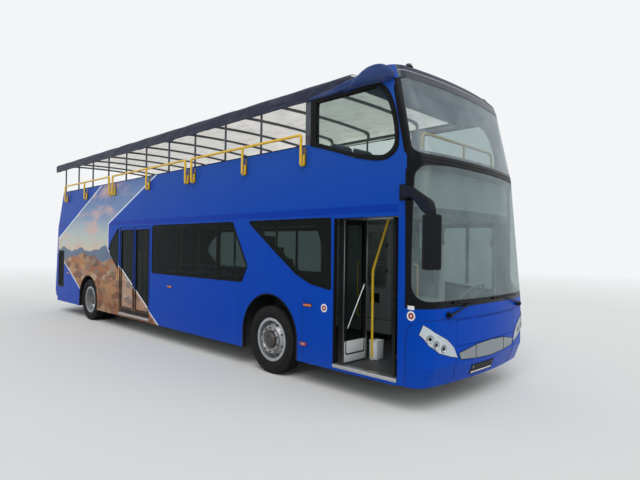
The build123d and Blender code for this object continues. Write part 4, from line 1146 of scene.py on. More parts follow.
def mirrorForms():
    s = mirrorSet
    form = Form()
    for side, x in ((-1, s["reach"]), (1, s["left"])):
        turn = Matrix.Rotation(math.radians(-side * s["turn"]), 4, "Z")
        middle = Vector((ahead(x), side * s["out"], 0))
        form.net(headRows(middle, turn), 0, closed=True, ends=True)
        spot = middle + turn @ Vector((0, -side * s["deep"] / 2, 0))
        for low, high in s["glasses"]:
            form.box((spot.x - s["glassHalf"], spot.y - 0.002, low),
                     (spot.x + s["glassHalf"], spot.y + 0.002, high), 1, 0.001, turn)
        form.lathe((middle.x, middle.y, s["top"] - 0.001), (0, 0, 1), s["collar"], 2, 24)
    # the wide arm of the right one stands on edge; a rod holds the left one
    foot = Vector((ahead(s["armIn"]), -sideY - 0.001, 0))
    span = Vector((s["reach"] - s["armIn"], sideY - s["out"], 0))
    across = Vector((span.y, -span.x, 0)).normalized() * (s["thick"] / 2)
    upper, lower = flowing(s["arm"][:6], 5), flowing(s["arm"][6:][::-1], 5)
    rows = []
    for i in range(41):
        a, b = along(upper, i / 40), along(lower, i / 40)
        row = [foot + span * place.x + Vector((0, 0, place.y)) + across * (out * s["edge"])
               for place, out in ((a, -1), (a, 1), (b, 1), (b, -1))]
        mid = [(p + q) / 2 for p, q in zip(row, row[1:] + row[:1])]
        rows.append([row[0], mid[0] + Vector((0, 0, 0.006)), row[1], mid[1] + across * 0.28, row[2],
                     mid[2] - Vector((0, 0, 0.006)), row[3], mid[3] - across * 0.28])
    form.net(rows, 0, closed=True, ends=True)
    form.block((s["armIn"] - 0.045, s["armIn"] + 0.06), (-sideY - 0.014, -sideY - 0.0003), (2.315, 2.49), 2, 0.006)
    form.tube([(ahead(s["left"] + 0.025), sideY, 1.88), (ahead(s["left"]), s["out"] - 0.06, 1.88)], 0.02, 0, 16)
    form.block((s["left"] - 0.015, s["left"] + 0.065), (sideY + 0.0003, sideY + 0.014), (1.82, 1.94), 2, 0.005)
    piece("mirrorForms", form, ["blackPlastic", "mirrorGlass", "blackRubber"], replaced=["mirrors"])


wiperSet = {"rows": ((-0.9, -0.43), (0.9, 0.43)), "pivot": 1.075, "blade": 1.2, "half": 0.37,
            "clips": (0.12, 0.34, 0.5, 0.66, 0.88),
            "bow": ((0.12, 0.011), (0.3, 0.022), (0.7, 0.022), (0.88, 0.011)),
            "boss": [(0.024, -0.0435), (0.024, -0.03), (0.026, -0.03), (0.026, 0.0), (0.018, 0.007), (0, 0.008)],
            "base": [(0.036, 0), (0.036, 0.006), (0.026, 0.012)]}


def wiperForms():
    s = wiperSet
    form = Form()
    for y, middle in s["rows"]:
        ends = [endFacing(e, s["blade"])[0] for e in (middle - s["half"], middle + s["half"])]
        sag = endFacing(middle, s["blade"])[0] - sum(ends) / 2
        off = sag + 0.0076
        start = Vector((ahead(ends[0] + off), middle - s["half"], s["blade"]))
        end = Vector((ahead(ends[1] + off), middle + s["half"], s["blade"]))
        form.tube([start, start.lerp(end, 0.5), end], 0.009, 0, 8, flat=(0.5, 1.5), start=(1, 0, 0))
        for share in s["clips"]:
            spot = start.lerp(end, share)
            form.box(spot - Vector((0.005, 0.012, 0.013)), spot + Vector((0.012, 0.012, 0.013)), 0, 0.002)
        bow = [start.lerp(end, share) + Vector((rise, 0, 0)) for share, rise in s["bow"]]
        form.tube(flowing(bow, 4), 0.005, 0, 8, flat=(0.6, 1.5), start=(1, 0, 0))
        pivot = skin(math.copysign(abs(y) - 0.022, y), s["pivot"])
        tip = start.lerp(end, 0.5) + Vector((0.022, 0, 0))
        root = Vector((pivot.x + 0.034, y, s["pivot"]))
        form.tube([root, tip.lerp(root, 0.3), tip], [0.013, 0.008, 0.007], 0, 10)
        form.lathe((pivot.x + 0.044, y, s["pivot"]), (1, 0, 0), s["boss"], 0, 28)
        form.lathe((pivot.x + 0.0005, y, s["pivot"]), (1, 0, 0), s["base"], 1, 28)
    piece("wiperForms", form, ["blackPlastic", "blackRubber"], replaced=["wipers"])


headlampDress()
noseTrim()
mirrorForms()
wiperForms()
print("stage: nose made")


# The canopy: one sheet stretched over the bows, with a loose skirt down each side

def rough(x, y, z):
    return noise.noise(Vector((x, y, z)))


canopySet = {"rear": -9.0, "front": 1.475, "half": 1.271, "hem": 3.69, "flat": 3.8995, "top": 3.939,
             "bows": [1.4, 0.78] + [-0.26 - 0.9 * i for i in range(9)] + [-8.37, -8.92],
             "thick": 0.004, "sag": 0.015, "wave": 0.012, "columns": 168, "skirt": 0.138, "flatHalf": 1.187}


def bowSpan(x):
    # share of the way between two bows, and how far apart they are
    bows = canopySet["bows"]
    for after, before in zip(bows, bows[1:]):
        if before <= x <= after:
            return (x - before) / (after - before), after - before
    return 0.0, 0.0


def canopySection(x):
    # the sheet's outer line across the bus at one place, from the right hem over to the left
    s = canopySet
    share, span = bowSpan(x)
    loose = math.sin(math.pi * share) ** 2 * min(span / 0.9, 1.0)
    line = []
    for side in (-1, 1):
        half = []
        for k in range(9):
            t = k / 8
            z = s["hem"] + s["skirt"] * t
            ripple = rough(x * 3.1, side * 7.0, t * 0.9) * 0.9 + rough(x * 9, side * 3, t * 2) * 0.35
            pull = math.sin(2 * math.pi * share + side) * 0.4
            y = s["half"] - 0.004 + (ripple + pull - 0.6) * s["wave"] * (1 - t * 0.75) * (0.35 + 0.65 * loose)
            drop = rough(x * 2.2, side * 11.0, 4.0) * 0.008 * (1 - t) + 0.006 * (1 - t)
            half.append(Vector((side * min(y, s["half"]), z + drop * loose + 0.003 * (1 - t))))
        for k in range(1, 7):
            turn = math.pi / 2 * k / 7
            y = s["flatHalf"] + (s["half"] - 0.004 - s["flatHalf"]) * math.cos(turn)
            z = s["hem"] + s["skirt"] + (s["flat"] - s["hem"] - s["skirt"]) * math.sin(turn)
            dent = rough(x * 4.0, side * 5.0, k * 0.3) * 0.006 * loose
            half.append(Vector((side * (y - abs(dent)), z - abs(dent) - 0.004 * loose * math.sin(turn))))
        for k in range(18):
            y = s["flatHalf"] * (1 - k / 18)
            crown = s["flat"] + (s["top"] - s["flat"]) * (1 - (y / s["flatHalf"]) ** 2)
            fold = rough(x * 1.7, side * y * 4.0, 2.0) * 0.35 + rough(x * 5, side * y * 2, 9) * 0.2
            across = 0.55 + 0.45 * math.cos(math.pi * y / 1.4)
            half.append(Vector((side * y, crown - s["sag"] * loose * (across + fold) - 0.0008)))
        line = half if side < 0 else line + [Vector((0, line[-1].y))] + half[::-1]
    middle = len(line) // 2
    line[middle] = Vector((0, (line[middle - 1].y + line[middle + 1].y) / 2))
    return line


def canopyCover():
    s = canopySet
    form = Form()
    outer, inner = [], []
    for i in range(s["columns"] + 1):
        x = s["rear"] + (s["front"] - s["rear"]) * i / s["columns"]
        line = canopySection(x)
        under = []
        for k, place in enumerate(line):
            before, after = line[max(k - 1, 0)], line[min(k + 1, len(line) - 1)]
            way = (after - before).normalized()
            under.append(place + Vector((way.y, -way.x)) * s["thick"])
        outer.append([(ahead(x), p.x, p.y) for p in line])
        inner.append([(ahead(x), p.x, p.y) for p in under])
    tops = [form.corners(row) for row in outer]
    bottoms = [form.corners(row) for row in inner]
    for first, second, low, lowNext in zip(tops, tops[1:], bottoms, bottoms[1:]):
        for k in range(len(first) - 1):
            form.face((first[k], first[k + 1], second[k + 1], second[k]), 0)
            form.face((low[k], lowNext[k], lowNext[k + 1], low[k + 1]), 1)
        for k in (0, len(first) - 1):
            form.face((first[k], second[k], lowNext[k], low[k]), 0)
    for row, under in ((tops[0], bottoms[0]), (tops[-1], bottoms[-1])):
        for k in range(len(row) - 1):
            form.face((row[k], under[k], under[k + 1], row[k + 1]), 0)
    cover = piece("canopyCover", form, ["canopyCloth", "canopyLining"], 60, replaced=["canopy"])
    hem = Form()
    for end in (0, -1):
        inward = -1 if outer[0][end][1] > 0 else 1
        path, thick = [], []
        for row in outer[2:-2]:
            bunch = rough(row[end][0] * 2.6, inward, 0)
            path.append(Vector(row[end]) + Vector((0, inward * 0.005, 0.004 - max(bunch, 0) * 0.02)))
            thick.append(0.007 + max(bunch, 0) * 0.016)
        hem.tube(path, thick, 0, 10)
    rope = piece("canopyHem", hem, ["canopyCloth"], 60)


rollSet = {"body": [(1.484, 3.7235), (1.49, 3.75), (1.60, 3.806), (1.70, 3.862), (1.80, 3.888), (1.88, 3.899),
                    (1.93, 3.897), (1.95, 3.87), (1.952, 3.80), (1.948, 3.735), (1.93, 3.7235), (1.7, 3.7235)],
           "ear": [(1.50, 3.735), (1.56, 3.775), (1.63, 3.812), (1.72, 3.860), (1.83, 3.886), (1.94, 3.884),
                   (2.03, 3.852), (2.10, 3.800), (2.138, 3.745), (2.125, 3.696), (2.06, 3.672),
                   (1.92, 3.674), (1.73, 3.684), (1.60, 3.684), (1.50, 3.702)],
           "half": 1.268, "middle": (1.74, 3.79), "floor": 3.7228, "earMiddle": (1.86, 3.79), "sleeveIn": 1.262,
           "earRows": [(1.2515, 0.93), (1.262, 0.99), (1.284, 1.0), (1.304, 0.975), (1.321, 0.91), (1.333, 0.8),
                       (1.341, 0.62), (1.3455, 0.38), (1.347, 0.08)], "straps": (-0.95, -0.32, 0.32, 0.95),
           # crumpled cloth from the ear back: x, middle height, half height
           "sleeve": [(1.66, 3.765, 0.066), (1.52, 3.748, 0.058), (1.36, 3.742, 0.044), (1.18, 3.728, 0.034),
                      (0.98, 3.718, 0.024), (0.78, 3.712, 0.012)]}


def canopyRoll():
    s = rollSet
    form = Form()
    rows = []
    for i in range(97):
        y = s["half"] * (i / 48 - 1)
        end = min(1.0, (s["half"] - abs(y)) / 0.03)
        swell = 0.955 + 0.03 * math.sqrt(max(end, 0.0)) + rough(0, y * 5, 1) * 0.008
        middle = Vector(s["middle"])
        row = []
        for k, place in enumerate(flowing(s["body"], 4, looped=True)):
            spot = middle + (place - middle) * swell
            crease = rough(k * 0.35, y * 1.6, 3) * 0.006
            strap = sum(math.exp(-((y - strapY) / 0.03) ** 2) for strapY in s["straps"]) * 0.006
            spot += (middle - spot).normalized() * (abs(crease) + strap)
            row.append((ahead(spot.x), y, max(spot.y, s["floor"])))
        rows.append(row)
    form.net(rows, 0, closed=True, ends=True)
    for side in (1, -1):
        outline = flowing(s["ear"], 5, looped=True)
        middle = Vector(s["earMiddle"])
        rows = []
        for y, share in s["earRows"]:
            row = []
            for k, place in enumerate(outline):
                spot = middle + (place - middle) * share
                spot += (middle - spot).normalized() * (abs(rough(k * 0.5, y * 14, side)) * 0.008)
                row.append((ahead(spot.x), side * y, spot.y))
            rows.append(row)
        form.net(rows, 0, closed=True, ends=True)
        rows = []
        for i, place in enumerate(flowing(s["sleeve"], 8)):
            x, middle, half = place
            thick = 0.05 - 0.038 * i / 40
            row = []
            for k in range(20):
                turn = 2 * math.pi * k / 20
                fold = rough(x * 7.5, turn * 0.9, side * 3) * 0.7
                fold += rough(x * 3, math.sin(turn) * 4 + x * 6, side) * 0.8
                out = max(0.25, 1 + fold * 0.75)
                row.append((ahead(x), side * (s["sleeveIn"] + thick * 0.5 * (1 + math.cos(turn) * out)),
                            middle + half * math.sin(turn) * (0.75 + 0.25 * out)))
            rows.append(row)
        form.net(rows, 0, closed=True, ends=True)
    roll = piece("canopyRollCloth", form, ["rollCloth"], 70, replaced=["canopy_roll"])
    form = Form()
    for y in s["straps"]:
        midX, midZ = s["middle"]
        path = [(ahead(midX + (x - midX) * 0.975), y, midZ + (z - midZ) * 0.965) for x, z in s["body"][:10]]
        form.tube(flowing(path, 4), 0.02, 0, 6, flat=(1, 0.1), start=(0, 1, 0))
    piece("rollStraps", form, ["blackRubber"], 60)


canopyCover()
canopyRoll()
print("stage: canopy made")


# Seats: moulded shells with a pale rim round each back, a painted highlight along the edge, and crowned cushions
# with piping

seatSet = {"wide": 0.84, "gap": 0.03, "thick": 0.014, "seatPad": 0.034, "backPad": 0.028, "cell": 9,
           "panLow": (0.012, 0.403), "panHigh": (0.436, 0.424), "backLow": (0.03, 0.43), "lean": -0.07,
           "edge": 0.004, "padIn": 0.022}
seatPitch = {"start": 1.15, "step": 0.75, "rows": 13, "front": 0.46, "rear": 0.1, "stairs": (-3.1, -1.1)}
lowerPlaces = [(-1.45, -1), (-2.2, -1), (-2.95, -1), (-3.95, 1), (-4.65, 1), (-5.32, 1)]
upperRows = [seatPitch["start"] - seatPitch["step"] * i for i in range(seatPitch["rows"])]
# on the left no bench stands over the stairs
upperPlaces = [(x, side) for x in upperRows for side in (-1, 1)
               if side < 0 or not (x + seatPitch["front"] > seatPitch["stairs"][0]
                                   and x - seatPitch["rear"] < seatPitch["stairs"][1])]


def cushion(form, corner, across, up, thick, slot, pull=0.03, channels=()):
    # a crowned pad from one corner; across and up are its sides, and it rises from them by its thickness
    corner, across, up = Vector(corner), Vector(across), Vector(up)
    out = across.cross(up).normalized() * thick
    cells = seatSet["cell"]
    net = {}
    for face in (0, 1):
        for i in range(cells + 1):
            for k in range(cells + 1):
                u, v = math.sin(math.pi * (i / cells - 0.5)), math.sin(math.pi * (k / cells - 0.5))
                edge = i in (0, cells) or k in (0, cells)
                if face and edge:
                    net[face, i, k] = net[0, i, k]
                    continue
                rise = ((1 - abs(u) ** 3) * (1 - abs(v) ** 3)) ** 0.42
                for channel in channels:
                    rise *= 1 - 0.22 * math.exp(-((v - channel) / 0.07) ** 2)
                lift = 0.25 + 0.75 * rise if not face else 0.25 * (1 - rise ** 0.5)
                place = corner + across * (0.5 + 0.5 * u * (1 - pull * (1 - v * v)))
                place += up * (0.5 + 0.5 * v * (1 - pull * (1 - u * u))) + out * lift
                net[face, i, k] = form.mesh.verts.new(place)
    for i in range(cells):
        for k in range(cells):
            form.face((net[0, i, k], net[0, i + 1, k], net[0, i + 1, k + 1], net[0, i, k + 1]), slot)
            form.face((net[1, i, k], net[1, i, k + 1], net[1, i + 1, k + 1], net[1, i + 1, k]), slot)
    rim = [(i, 0) for i in range(cells)] + [(cells, k) for k in range(cells)]
    rim += [(cells - i, cells) for i in range(cells)] + [(0, cells - k) for k in range(cells)]
    form.tube([net[0, i, k].co.copy() for i, k in rim], 0.0035, slot + 1, 5, looped=True)


def seats(prefix, places, floor, height, node):
    s = seatSet
    shells, pads = Form(), Form()
    for x, side in places:
        y = -innerY + 0.01 if side < 0 else innerY - 0.01 - s["wide"]

        def at(along, across, up):
            return Vector((ahead(x + along), y + across, floor + up))
        # the pan and the two backs, in the plane of each
        panLow, panHigh = s["panLow"], s["panHigh"]
        backLow, backHigh = s["backLow"], (s["lean"], height - 0.006)

        def plane(start, end, lift):
            way = Vector((end[0] - start[0], end[1] - start[1])).normalized()
            out = Vector((-way.y, way.x))
            return lambda u, v, face: at(start[0] + way.x * v + out.x * (face * s["thick"] + lift), u,
                                         start[1] + way.y * v + out.y * (face * s["thick"] + lift))
        long = (Vector(panHigh) - Vector(panLow)).length
        pan = plane(panLow, panHigh, -0.004)
        shells.plate([rounded(rect(s["edge"], s["wide"] - s["edge"], 0, long), 0.045, 4)], pan, 0)
        tall = (Vector(backHigh) - Vector(backLow)).length
        back = plane(backHigh, backLow, 0.0)
        for start in (s["edge"], s["wide"] / 2 + s["gap"] / 2):
            end = start + s["wide"] / 2 - s["gap"] / 2 - s["edge"]
            outline = rounded(rect(start, end, 0, tall), 0.06, 5)
            shells.plate([outline], back, 0)
            # a pale rim tube round the back: painted highlight along the shell's edge
            shells.tube([back(u, v, 0.5) for u, v in outline], 0.0085, 1, 6, looped=True)
            low, high = start + s["padIn"], end - s["padIn"]
            across = (0, high - low, 0)
            cushion(pads, at(0.075, low, 0.428), across, (0.352, 0, 0.018), -s["seatPad"], 0, 0.02, (0.55,))
            lean = Vector((backHigh[0] - backLow[0], 0, backHigh[1] - backLow[1]))
            foot = at(backLow[0] + 0.012, low, backLow[1] + 0.05)
            cushion(pads, foot, across, lean * 0.84, s["backPad"], 0, 0.03, (0.1, 0.55))
        # a pedestal with a foot plate, and a beam under the pan
        middle = s["wide"] / 2
        shells.box(at(0.15, middle - 0.045, 0.006), at(0.31, middle + 0.045, 0.402), 2, 0.008)
        shells.box(at(0.13, middle - 0.06, 0.0), at(0.33, middle + 0.06, 0.008), 2, 0.003)
        shells.box(at(0.03, 0.03, 0.386), at(0.40, s["wide"] - 0.03, 0.4), 2, 0.004)
    piece(prefix + "SeatShells", shells, ["seatShell", "paleTrim", "darkTrim"], replaced=[node])
    made = piece(prefix + "Cushions", pads, ["seatCloth", "blackRubber"], 60)


driverSet = {"place": (1.4, 0.42, 0.56),
             "stand": [(0.09, 0), (0.085, 0.03), (0.06, 0.05), (0.06, 0.2), (0.09, 0.25), (0, 0.27)]}


def driverSeat():
    s = driverSet
    shells, pads = Form(), Form()

    def at(along, across, up):
        x, y, z = s["place"]
        return Vector((ahead(x + along), y + across, z + up))
    shells.box(at(0.08, 0.11, 0), at(0.36, 0.39, 0.02), 1, 0.004)
    shells.lathe(at(0.22, 0.25, 0.02), (0, 0, 1), s["stand"], 1, 24)
    shells.box(at(0.01, 0.02, 0.285), at(0.465, 0.48, 0.335), 0, 0.02)
    lean = Matrix.Rotation(math.atan2(-0.13, 0.69), 4, "Y")
    shells.box(at(-0.09, 0.03, 0.37), at(-0.045, 0.47, 1.02), 0, 0.02, lean)
    cushion(pads, at(0.07, 0.015, 0.335), (0, 0.47, 0), (0.40, 0, 0.02), -0.085, 0, 0.03, (-0.3, 0.4))
    cushion(pads, at(-0.005, 0.02, 0.395), (0, 0.46, 0), (-0.10, 0, 0.49), 0.085, 0, 0.04, (-0.4, 0.35))
    cushion(pads, at(-0.105, 0.11, 0.89), (0, 0.28, 0), (-0.03, 0, 0.165), 0.07, 0, 0.05)
    piece("driverSeatFrame", shells, ["darkTrim", "blackPlastic"], replaced=["driver_seat"])
    made = piece("driverCushions", pads, ["seatCloth", "blackRubber"], 60)


seats("lower", lowerPlaces, floorTop, 0.96, "lower_seats")
seats("upper", upperPlaces, deckTop, 0.88, "upper_seats")
driverSeat()
print("stage: seats made")


# Doors: glass seals and hand bars on every leaf, and bright edges on the open leaves

leafSet = {"frame": 0.055, "kick": 0.11, "foot": 0.368, "head": 2.142, "panelTop": 0.27, "barIn": 0.09,
           "bar": [(0.92, -0.041), (0.92, -0.075), (0.98, -0.085), (1.55, -0.085), (1.61, -0.075), (1.61, -0.041)],
           "rodIn": (0.075, 0.07), "rodZ": (0.80, 1.32)}


def slab(form, at, first, second, slot, edge=0.002):
    # a box between two corners of a leaf or panel, whatever way that faces
    a, b = at(*first), at(*second)
    form.box([min(p, q) for p, q in zip(a, b)], [max(p, q) for p, q in zip(a, b)], slot, edge)


def leafDress(node, front, opened):
    # u runs along the leaf from its hinge edge, v up, and w out of the face that is outside when it is shut
    s = leafSet
    low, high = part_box(node)
    wide = (high.y - low.y) if opened else (high.x - low.x)
    if opened:
        at = (lambda u, v, w: (low.x - w, low.y + u, v)) if front else (lambda u, v, w: (high.x + w, low.y + u, v))
    else:
        at = (lambda u, v, w: (high.x - u, low.y - w, v)) if front else (lambda u, v, w: (low.x + u, low.y - w, v))
    form = Form()
    foot, head = s["foot"], s["head"]
    hole = rect(s["frame"], wide - s["frame"], foot + s["kick"], head - s["frame"])
    for start, end in ((0.0, 0.0035), (-0.0435, -0.04)):
        form.plate(rimRings(hole, 0.011, 0.009, 0.03, 0.02),
                   lambda u, v, face: at(u, v, start + face * (end - start)), 0)
    edgeSlot = 1 if opened else 0
    slab(form, at, (0.004, foot + 0.01, 0.0), (0.016, head - 0.01, 0.0028), edgeSlot, 0.001)
    slab(form, at, (wide - 0.018, foot + 0.01, 0.0), (wide - 0.003, head - 0.01, 0.0028), edgeSlot, 0.001)
    form.tube([at(wide + 0.001, foot + 0.004, -0.02), at(wide + 0.001, head - 0.004, -0.02)], 0.0065, 0, 8)
    if opened:
        slab(form, at, (0.028, foot + 0.012, 0.0), (wide - 0.028, foot + s["panelTop"], 0.003), 3, 0.001)
        for u, v in ((0.05, 0.04), (0.05, 0.24), (wide - 0.05, 0.04), (wide - 0.05, 0.24), (wide / 2, 0.14)):
            slab(form, at, (u - 0.006, foot + v - 0.006, 0.003), (u + 0.006, foot + v + 0.006, 0.0055), 1, 0.001)
        if not front:
            # the slanting rod that draws the leaves together, with its two brackets
            ends = list(zip((s["rodIn"][0], wide - s["rodIn"][1]), s["rodZ"]))
            form.tube([at(u, v, 0.012) for u, v in ends], 0.006, 1, 8)
            for u, v in ends:
                slab(form, at, (u - 0.012, v - 0.012, 0.002), (u + 0.012, v + 0.012, 0.014), 1, 0.002)
    else:
        slab(form, at, (0.03, foot + 0.012, 0.0), (wide - 0.03, foot + 0.09, 0.0022), 0, 0.001)
    # a bar inside the leaf
    form.tube([at(wide - s["barIn"], v, w) for v, w in s["bar"]], 0.011, 2, 10)
    piece(node + "_dress", form, ["blackRubber", "satinAlloy", "yellowCoat", "cabGrey"], body=node)


# Loose pieces indoors; each row of blocks gives its spans along, across and up, its finish slot and its edge

entranceSet = {
    "poles": ((1.42, -0.7), (-0.82, -0.42), (-3.48, -0.64), (-4.3, 0.26), (-5.04, -0.64)),
    "foot": [(0.042, 0.0), (0.042, 0.006), (0.024, 0.012), (0.0195, 0.03), (0.0172, 0.03)],
    "head": [(0.042, 0.0), (0.042, 0.006), (0.024, 0.012), (0.0172, 0.03)], "headZ": 2.18,
    "button": [(0.0172, -0.035), (0.024, -0.033), (0.026, 0.0), (0.024, 0.033), (0.0172, 0.035)], "buttonZ": 1.55,
    "collar": [(0.0172, -0.014), (0.0215, -0.012), (0.0215, 0.012), (0.0172, 0.014)], "collars": (0.75, 1.1, 1.45),
    # a box at the foot of the leaning pole, and an air vent with slats in the cab's wall
    "blocks": [((1.375, 1.50), (-0.70, -0.56), (0.362, 0.60), 0, 0.008),
               ((1.37, 1.505), (-0.705, -0.555), (0.592, 0.606), 0, 0.004),
               ((1.42, 1.56), (0.172, 0.1795), (0.80, 0.95), 2, 0.003)]
    + [((1.435, 1.545), (0.169, 0.1725), (0.815 + k * 0.018, 0.823 + k * 0.018), 2, 0.001) for k in range(7)]}


def entrance():
    s = entranceSet
    form = Form()
    for x, y in s["poles"]:
        form.lathe((ahead(x), y, floorTop), (0, 0, 1), s["foot"], 1, 28)
        if x < 1:
            form.lathe((ahead(x), y, s["headZ"]), (0, 0, -1), s["head"], 1, 28)
            form.lathe((ahead(x), y, s["buttonZ"]), (0, 0, 1), s["button"], 3, 24)
            form.block((x - 0.02, x + 0.02), (y - 0.045, y - 0.015), (1.50, 1.60), 3, 0.006)
    for z in s["collars"]:
        form.lathe((ahead(s["poles"][0][0]), s["poles"][0][1], z), (0, 0, 1), s["collar"], 3, 20)
    form.blocks(s["blocks"])
    piece("entrancePieces", form, ["cabGrey", "satinAlloy", "darkTrim", "yellowCoat"])


# lamps and coving along the ceiling, ledges under the windows, and yellow edges on the steps
saloonBlocks = [((-7.6, 1.9), (side * 0.62, side * 0.74), (2.168, 2.18), 0, 0.004) for side in (1, -1)]
saloonBlocks += [((x + 0.05, x + 0.75), (side * 0.645, side * 0.715), (2.162, 2.169), 1, 0.003)
                 for side in (1, -1) for x in range(-7, 2)]
saloonBlocks += [((-5.4, 0.7), (1.165, 1.19), (1.17, 1.235), 2, 0.006),
                 ((-3.4, 0.7), (-1.19, -1.165), (1.17, 1.235), 2, 0.006)]
saloonBlocks += [((x - 0.04, x + 0.003), (0.565, 1.15), (z, z + 0.003), 3, 0.001)
                 for x, z in ((-1.0 - i * 2.0 / 7, 0.36 + (i + 1) * 0.235) for i in range(7))]


def saloonTrim():
    form = Form()
    form.blocks(saloonBlocks)
    piece("saloonTrim", form, ["paleTrim", "whiteLabel", "greyTrim", "yellowCoat"])


cabScreenSet = {"back": rect(0.3, 1.1, 1.25, 2.05), "backRims": (1.178, 1.2105), "backPane": 1.193,
                "door": rect(1.3, 1.86, 1.12, 1.78), "doorRims": (0.178, 0.2105), "doorPane": 0.193,
                "rimThick": 0.0015, "paneThick": 0.004,
                "blocks": [((1.80, 1.87), (0.1715, 0.18), (0.98, 1.02), 2, 0.003),
                           ((1.32, 1.40), (0.172, 0.18), (1.00, 1.07), 2, 0.003)]}


def cabScreens():
    # panes behind the driver and in the cab's door, each between two rims, with a handle and a lock
    s = cabScreenSet
    form = Form()
    for name, layer in (("back", crossLayer), ("door", sideLayer)):
        for place in s[name + "Rims"]:
            form.plate(rimRings(s[name], 0.014, 0.01, 0.03, 0.03), layer(place, s["rimThick"]), 0)
        form.plate([rounded(inset(s[name], 0.002), 0.03, 4)], layer(s[name + "Pane"], s["paneThick"]), 1)
    form.blocks(s["blocks"])
    piece("cabScreens", form, ["paleTrim", "paneGlass", "blackPlastic"])


boxScreenSet = {"front": 0.80, "rear": -0.62, "inside": 0.576, "outside": 0.596, "foot": 0.362, "top": 2.165,
                "hole": rect(0.20, 0.67, 1.18, 2.02), "joints": (-0.608, 0.12, 0.788)}


def wheelBoxScreen():
    # the screen that stands along the left wheel box, with its window, a vent and its joints
    s = boxScreenSet
    front, rear, inside, hole = s["front"], s["rear"], s["inside"], s["hole"]
    form = Form()
    form.plate([rect(rear, front, s["foot"], s["top"]), rounded(hole, 0.02, 3)],
               sideLayer(inside, s["outside"] - inside), 0)
    form.plate(rimRings(hole, 0.026, 0.008, 0.03, 0.02), sideLayer(inside, -0.008), 1)
    form.plate([rounded(inset(hole, 0.002), 0.02, 3)], sideLayer(inside + 0.008, 0.004), 2)
    form.blocks([((0.2, 0.67), (inside + 0.002, inside + 0.007), (z, z + 0.008), 1, 0.001) for z in (1.52, 1.56)]
                + [((x - 0.012, x + 0.012), (inside - 0.005, inside), (0.364, 2.16), 1, 0.002) for x in s["joints"]]
                + [((rear, front), (inside - 0.003, inside), (0.652, 0.662), 3, 0.001),
                   ((rear, front), (inside - 0.006, inside), (0.364, 0.44), 3, 0.002),
                   ((0.37, 0.55), (inside - 0.006, inside), (0.915, 1.065), 3, 0.003)]
                + [((0.385, 0.535), (inside - 0.009, inside - 0.005),
                    (0.93 + k * 0.0165, 0.938 + k * 0.0165), 3, 0.001) for k in range(8)]
                + [((0.675, 0.70), (inside - 0.014, inside), (z, z + 0.06), 3, 0.004) for z in (1.40, 1.80)])
    piece("wheelBoxScreen", form, ["cabGrey", "paleTrim", "milkGlass", "darkTrim"])


dialSet = {"face": (2.2345, 1.147), "lean": (-1, 0, 0.12), "dials": ((0.58, 0.048), (0.76, 0.048), (0.67, 0.03)),
           "binnacle": ((2.235, 2.34), (0.47, 0.87), (1.09, 1.205), 0, 0.02),
           # the switches and a shelf
           "blocks": [((2.19, 2.215), (0.36 - k * 0.04, 0.385 - k * 0.04), (1.112, 1.122), 1, 0.002)
                      for k in range(6)]
           + [((2.25, 2.44), (-0.55, -0.10), (1.112, 1.135), 0, 0.01)]}


def driverDials():
    s = dialSet
    form = Form()
    form.block(*s["binnacle"])
    x, z = s["face"]
    for y, radius in s["dials"]:
        bezel = [(radius, 0), (radius, 0.004), (radius - 0.005, 0.005), (radius - 0.007, 0.002), (0, 0.002)]
        form.lathe((ahead(x), y, z), s["lean"], bezel, 1, 32)
        form.lathe((ahead(x), y, z), s["lean"], [(radius * 0.72, 0.002), (radius * 0.72, 0.003), (0, 0.003)], 2, 24)
    form.blocks(s["blocks"])
    piece("driverDials", form, ["darkTrim", "blackPlastic", "whiteLabel"])


for doorName in ("front_door", "rear_door"):
    for leafName in ("rear_leaf", "front_leaf"):
        leafDress(doorName + "_" + leafName, leafName == "front_leaf", doorName == "front_door")
entrance()
saloonTrim()
cabScreens()
wheelBoxScreen()
driverDials()
print("stage: doors and saloon made")


# Tail: seals, lamp frames, a blank plate and the lid's handle

tailDressSet = {
    "window": rect(-0.9, 0.9, 1.56, 2.11), "lampBox": (0.998, 1.142, 0.688, 1.082), "lampY": 1.07,
    "lampBars": (0.82, 0.95), "lamps": (0.755, 0.885, 1.015),
    "lens": [(0.036, 0), (0.036, 0.003), (0.031, 0.004), (0, 0.004)],
    # small lamps at the sides: spans across and up, rise
    "sideSlabs": (((1.03, 1.12), (0.60, 0.635), 0.006), ((1.03, 1.12), (2.90, 2.96), 0.008)),
    "joints": (0.552, 2.2), "bolts": (-7.6, -5.6, -4.7, -3.2, -2.4, -1.6, 0.85),
    "grip": ((-0.13, 0.0), (-0.13, 0.03), (-0.1, 0.038), (0.1, 0.038), (0.13, 0.03), (0.13, 0.0))}


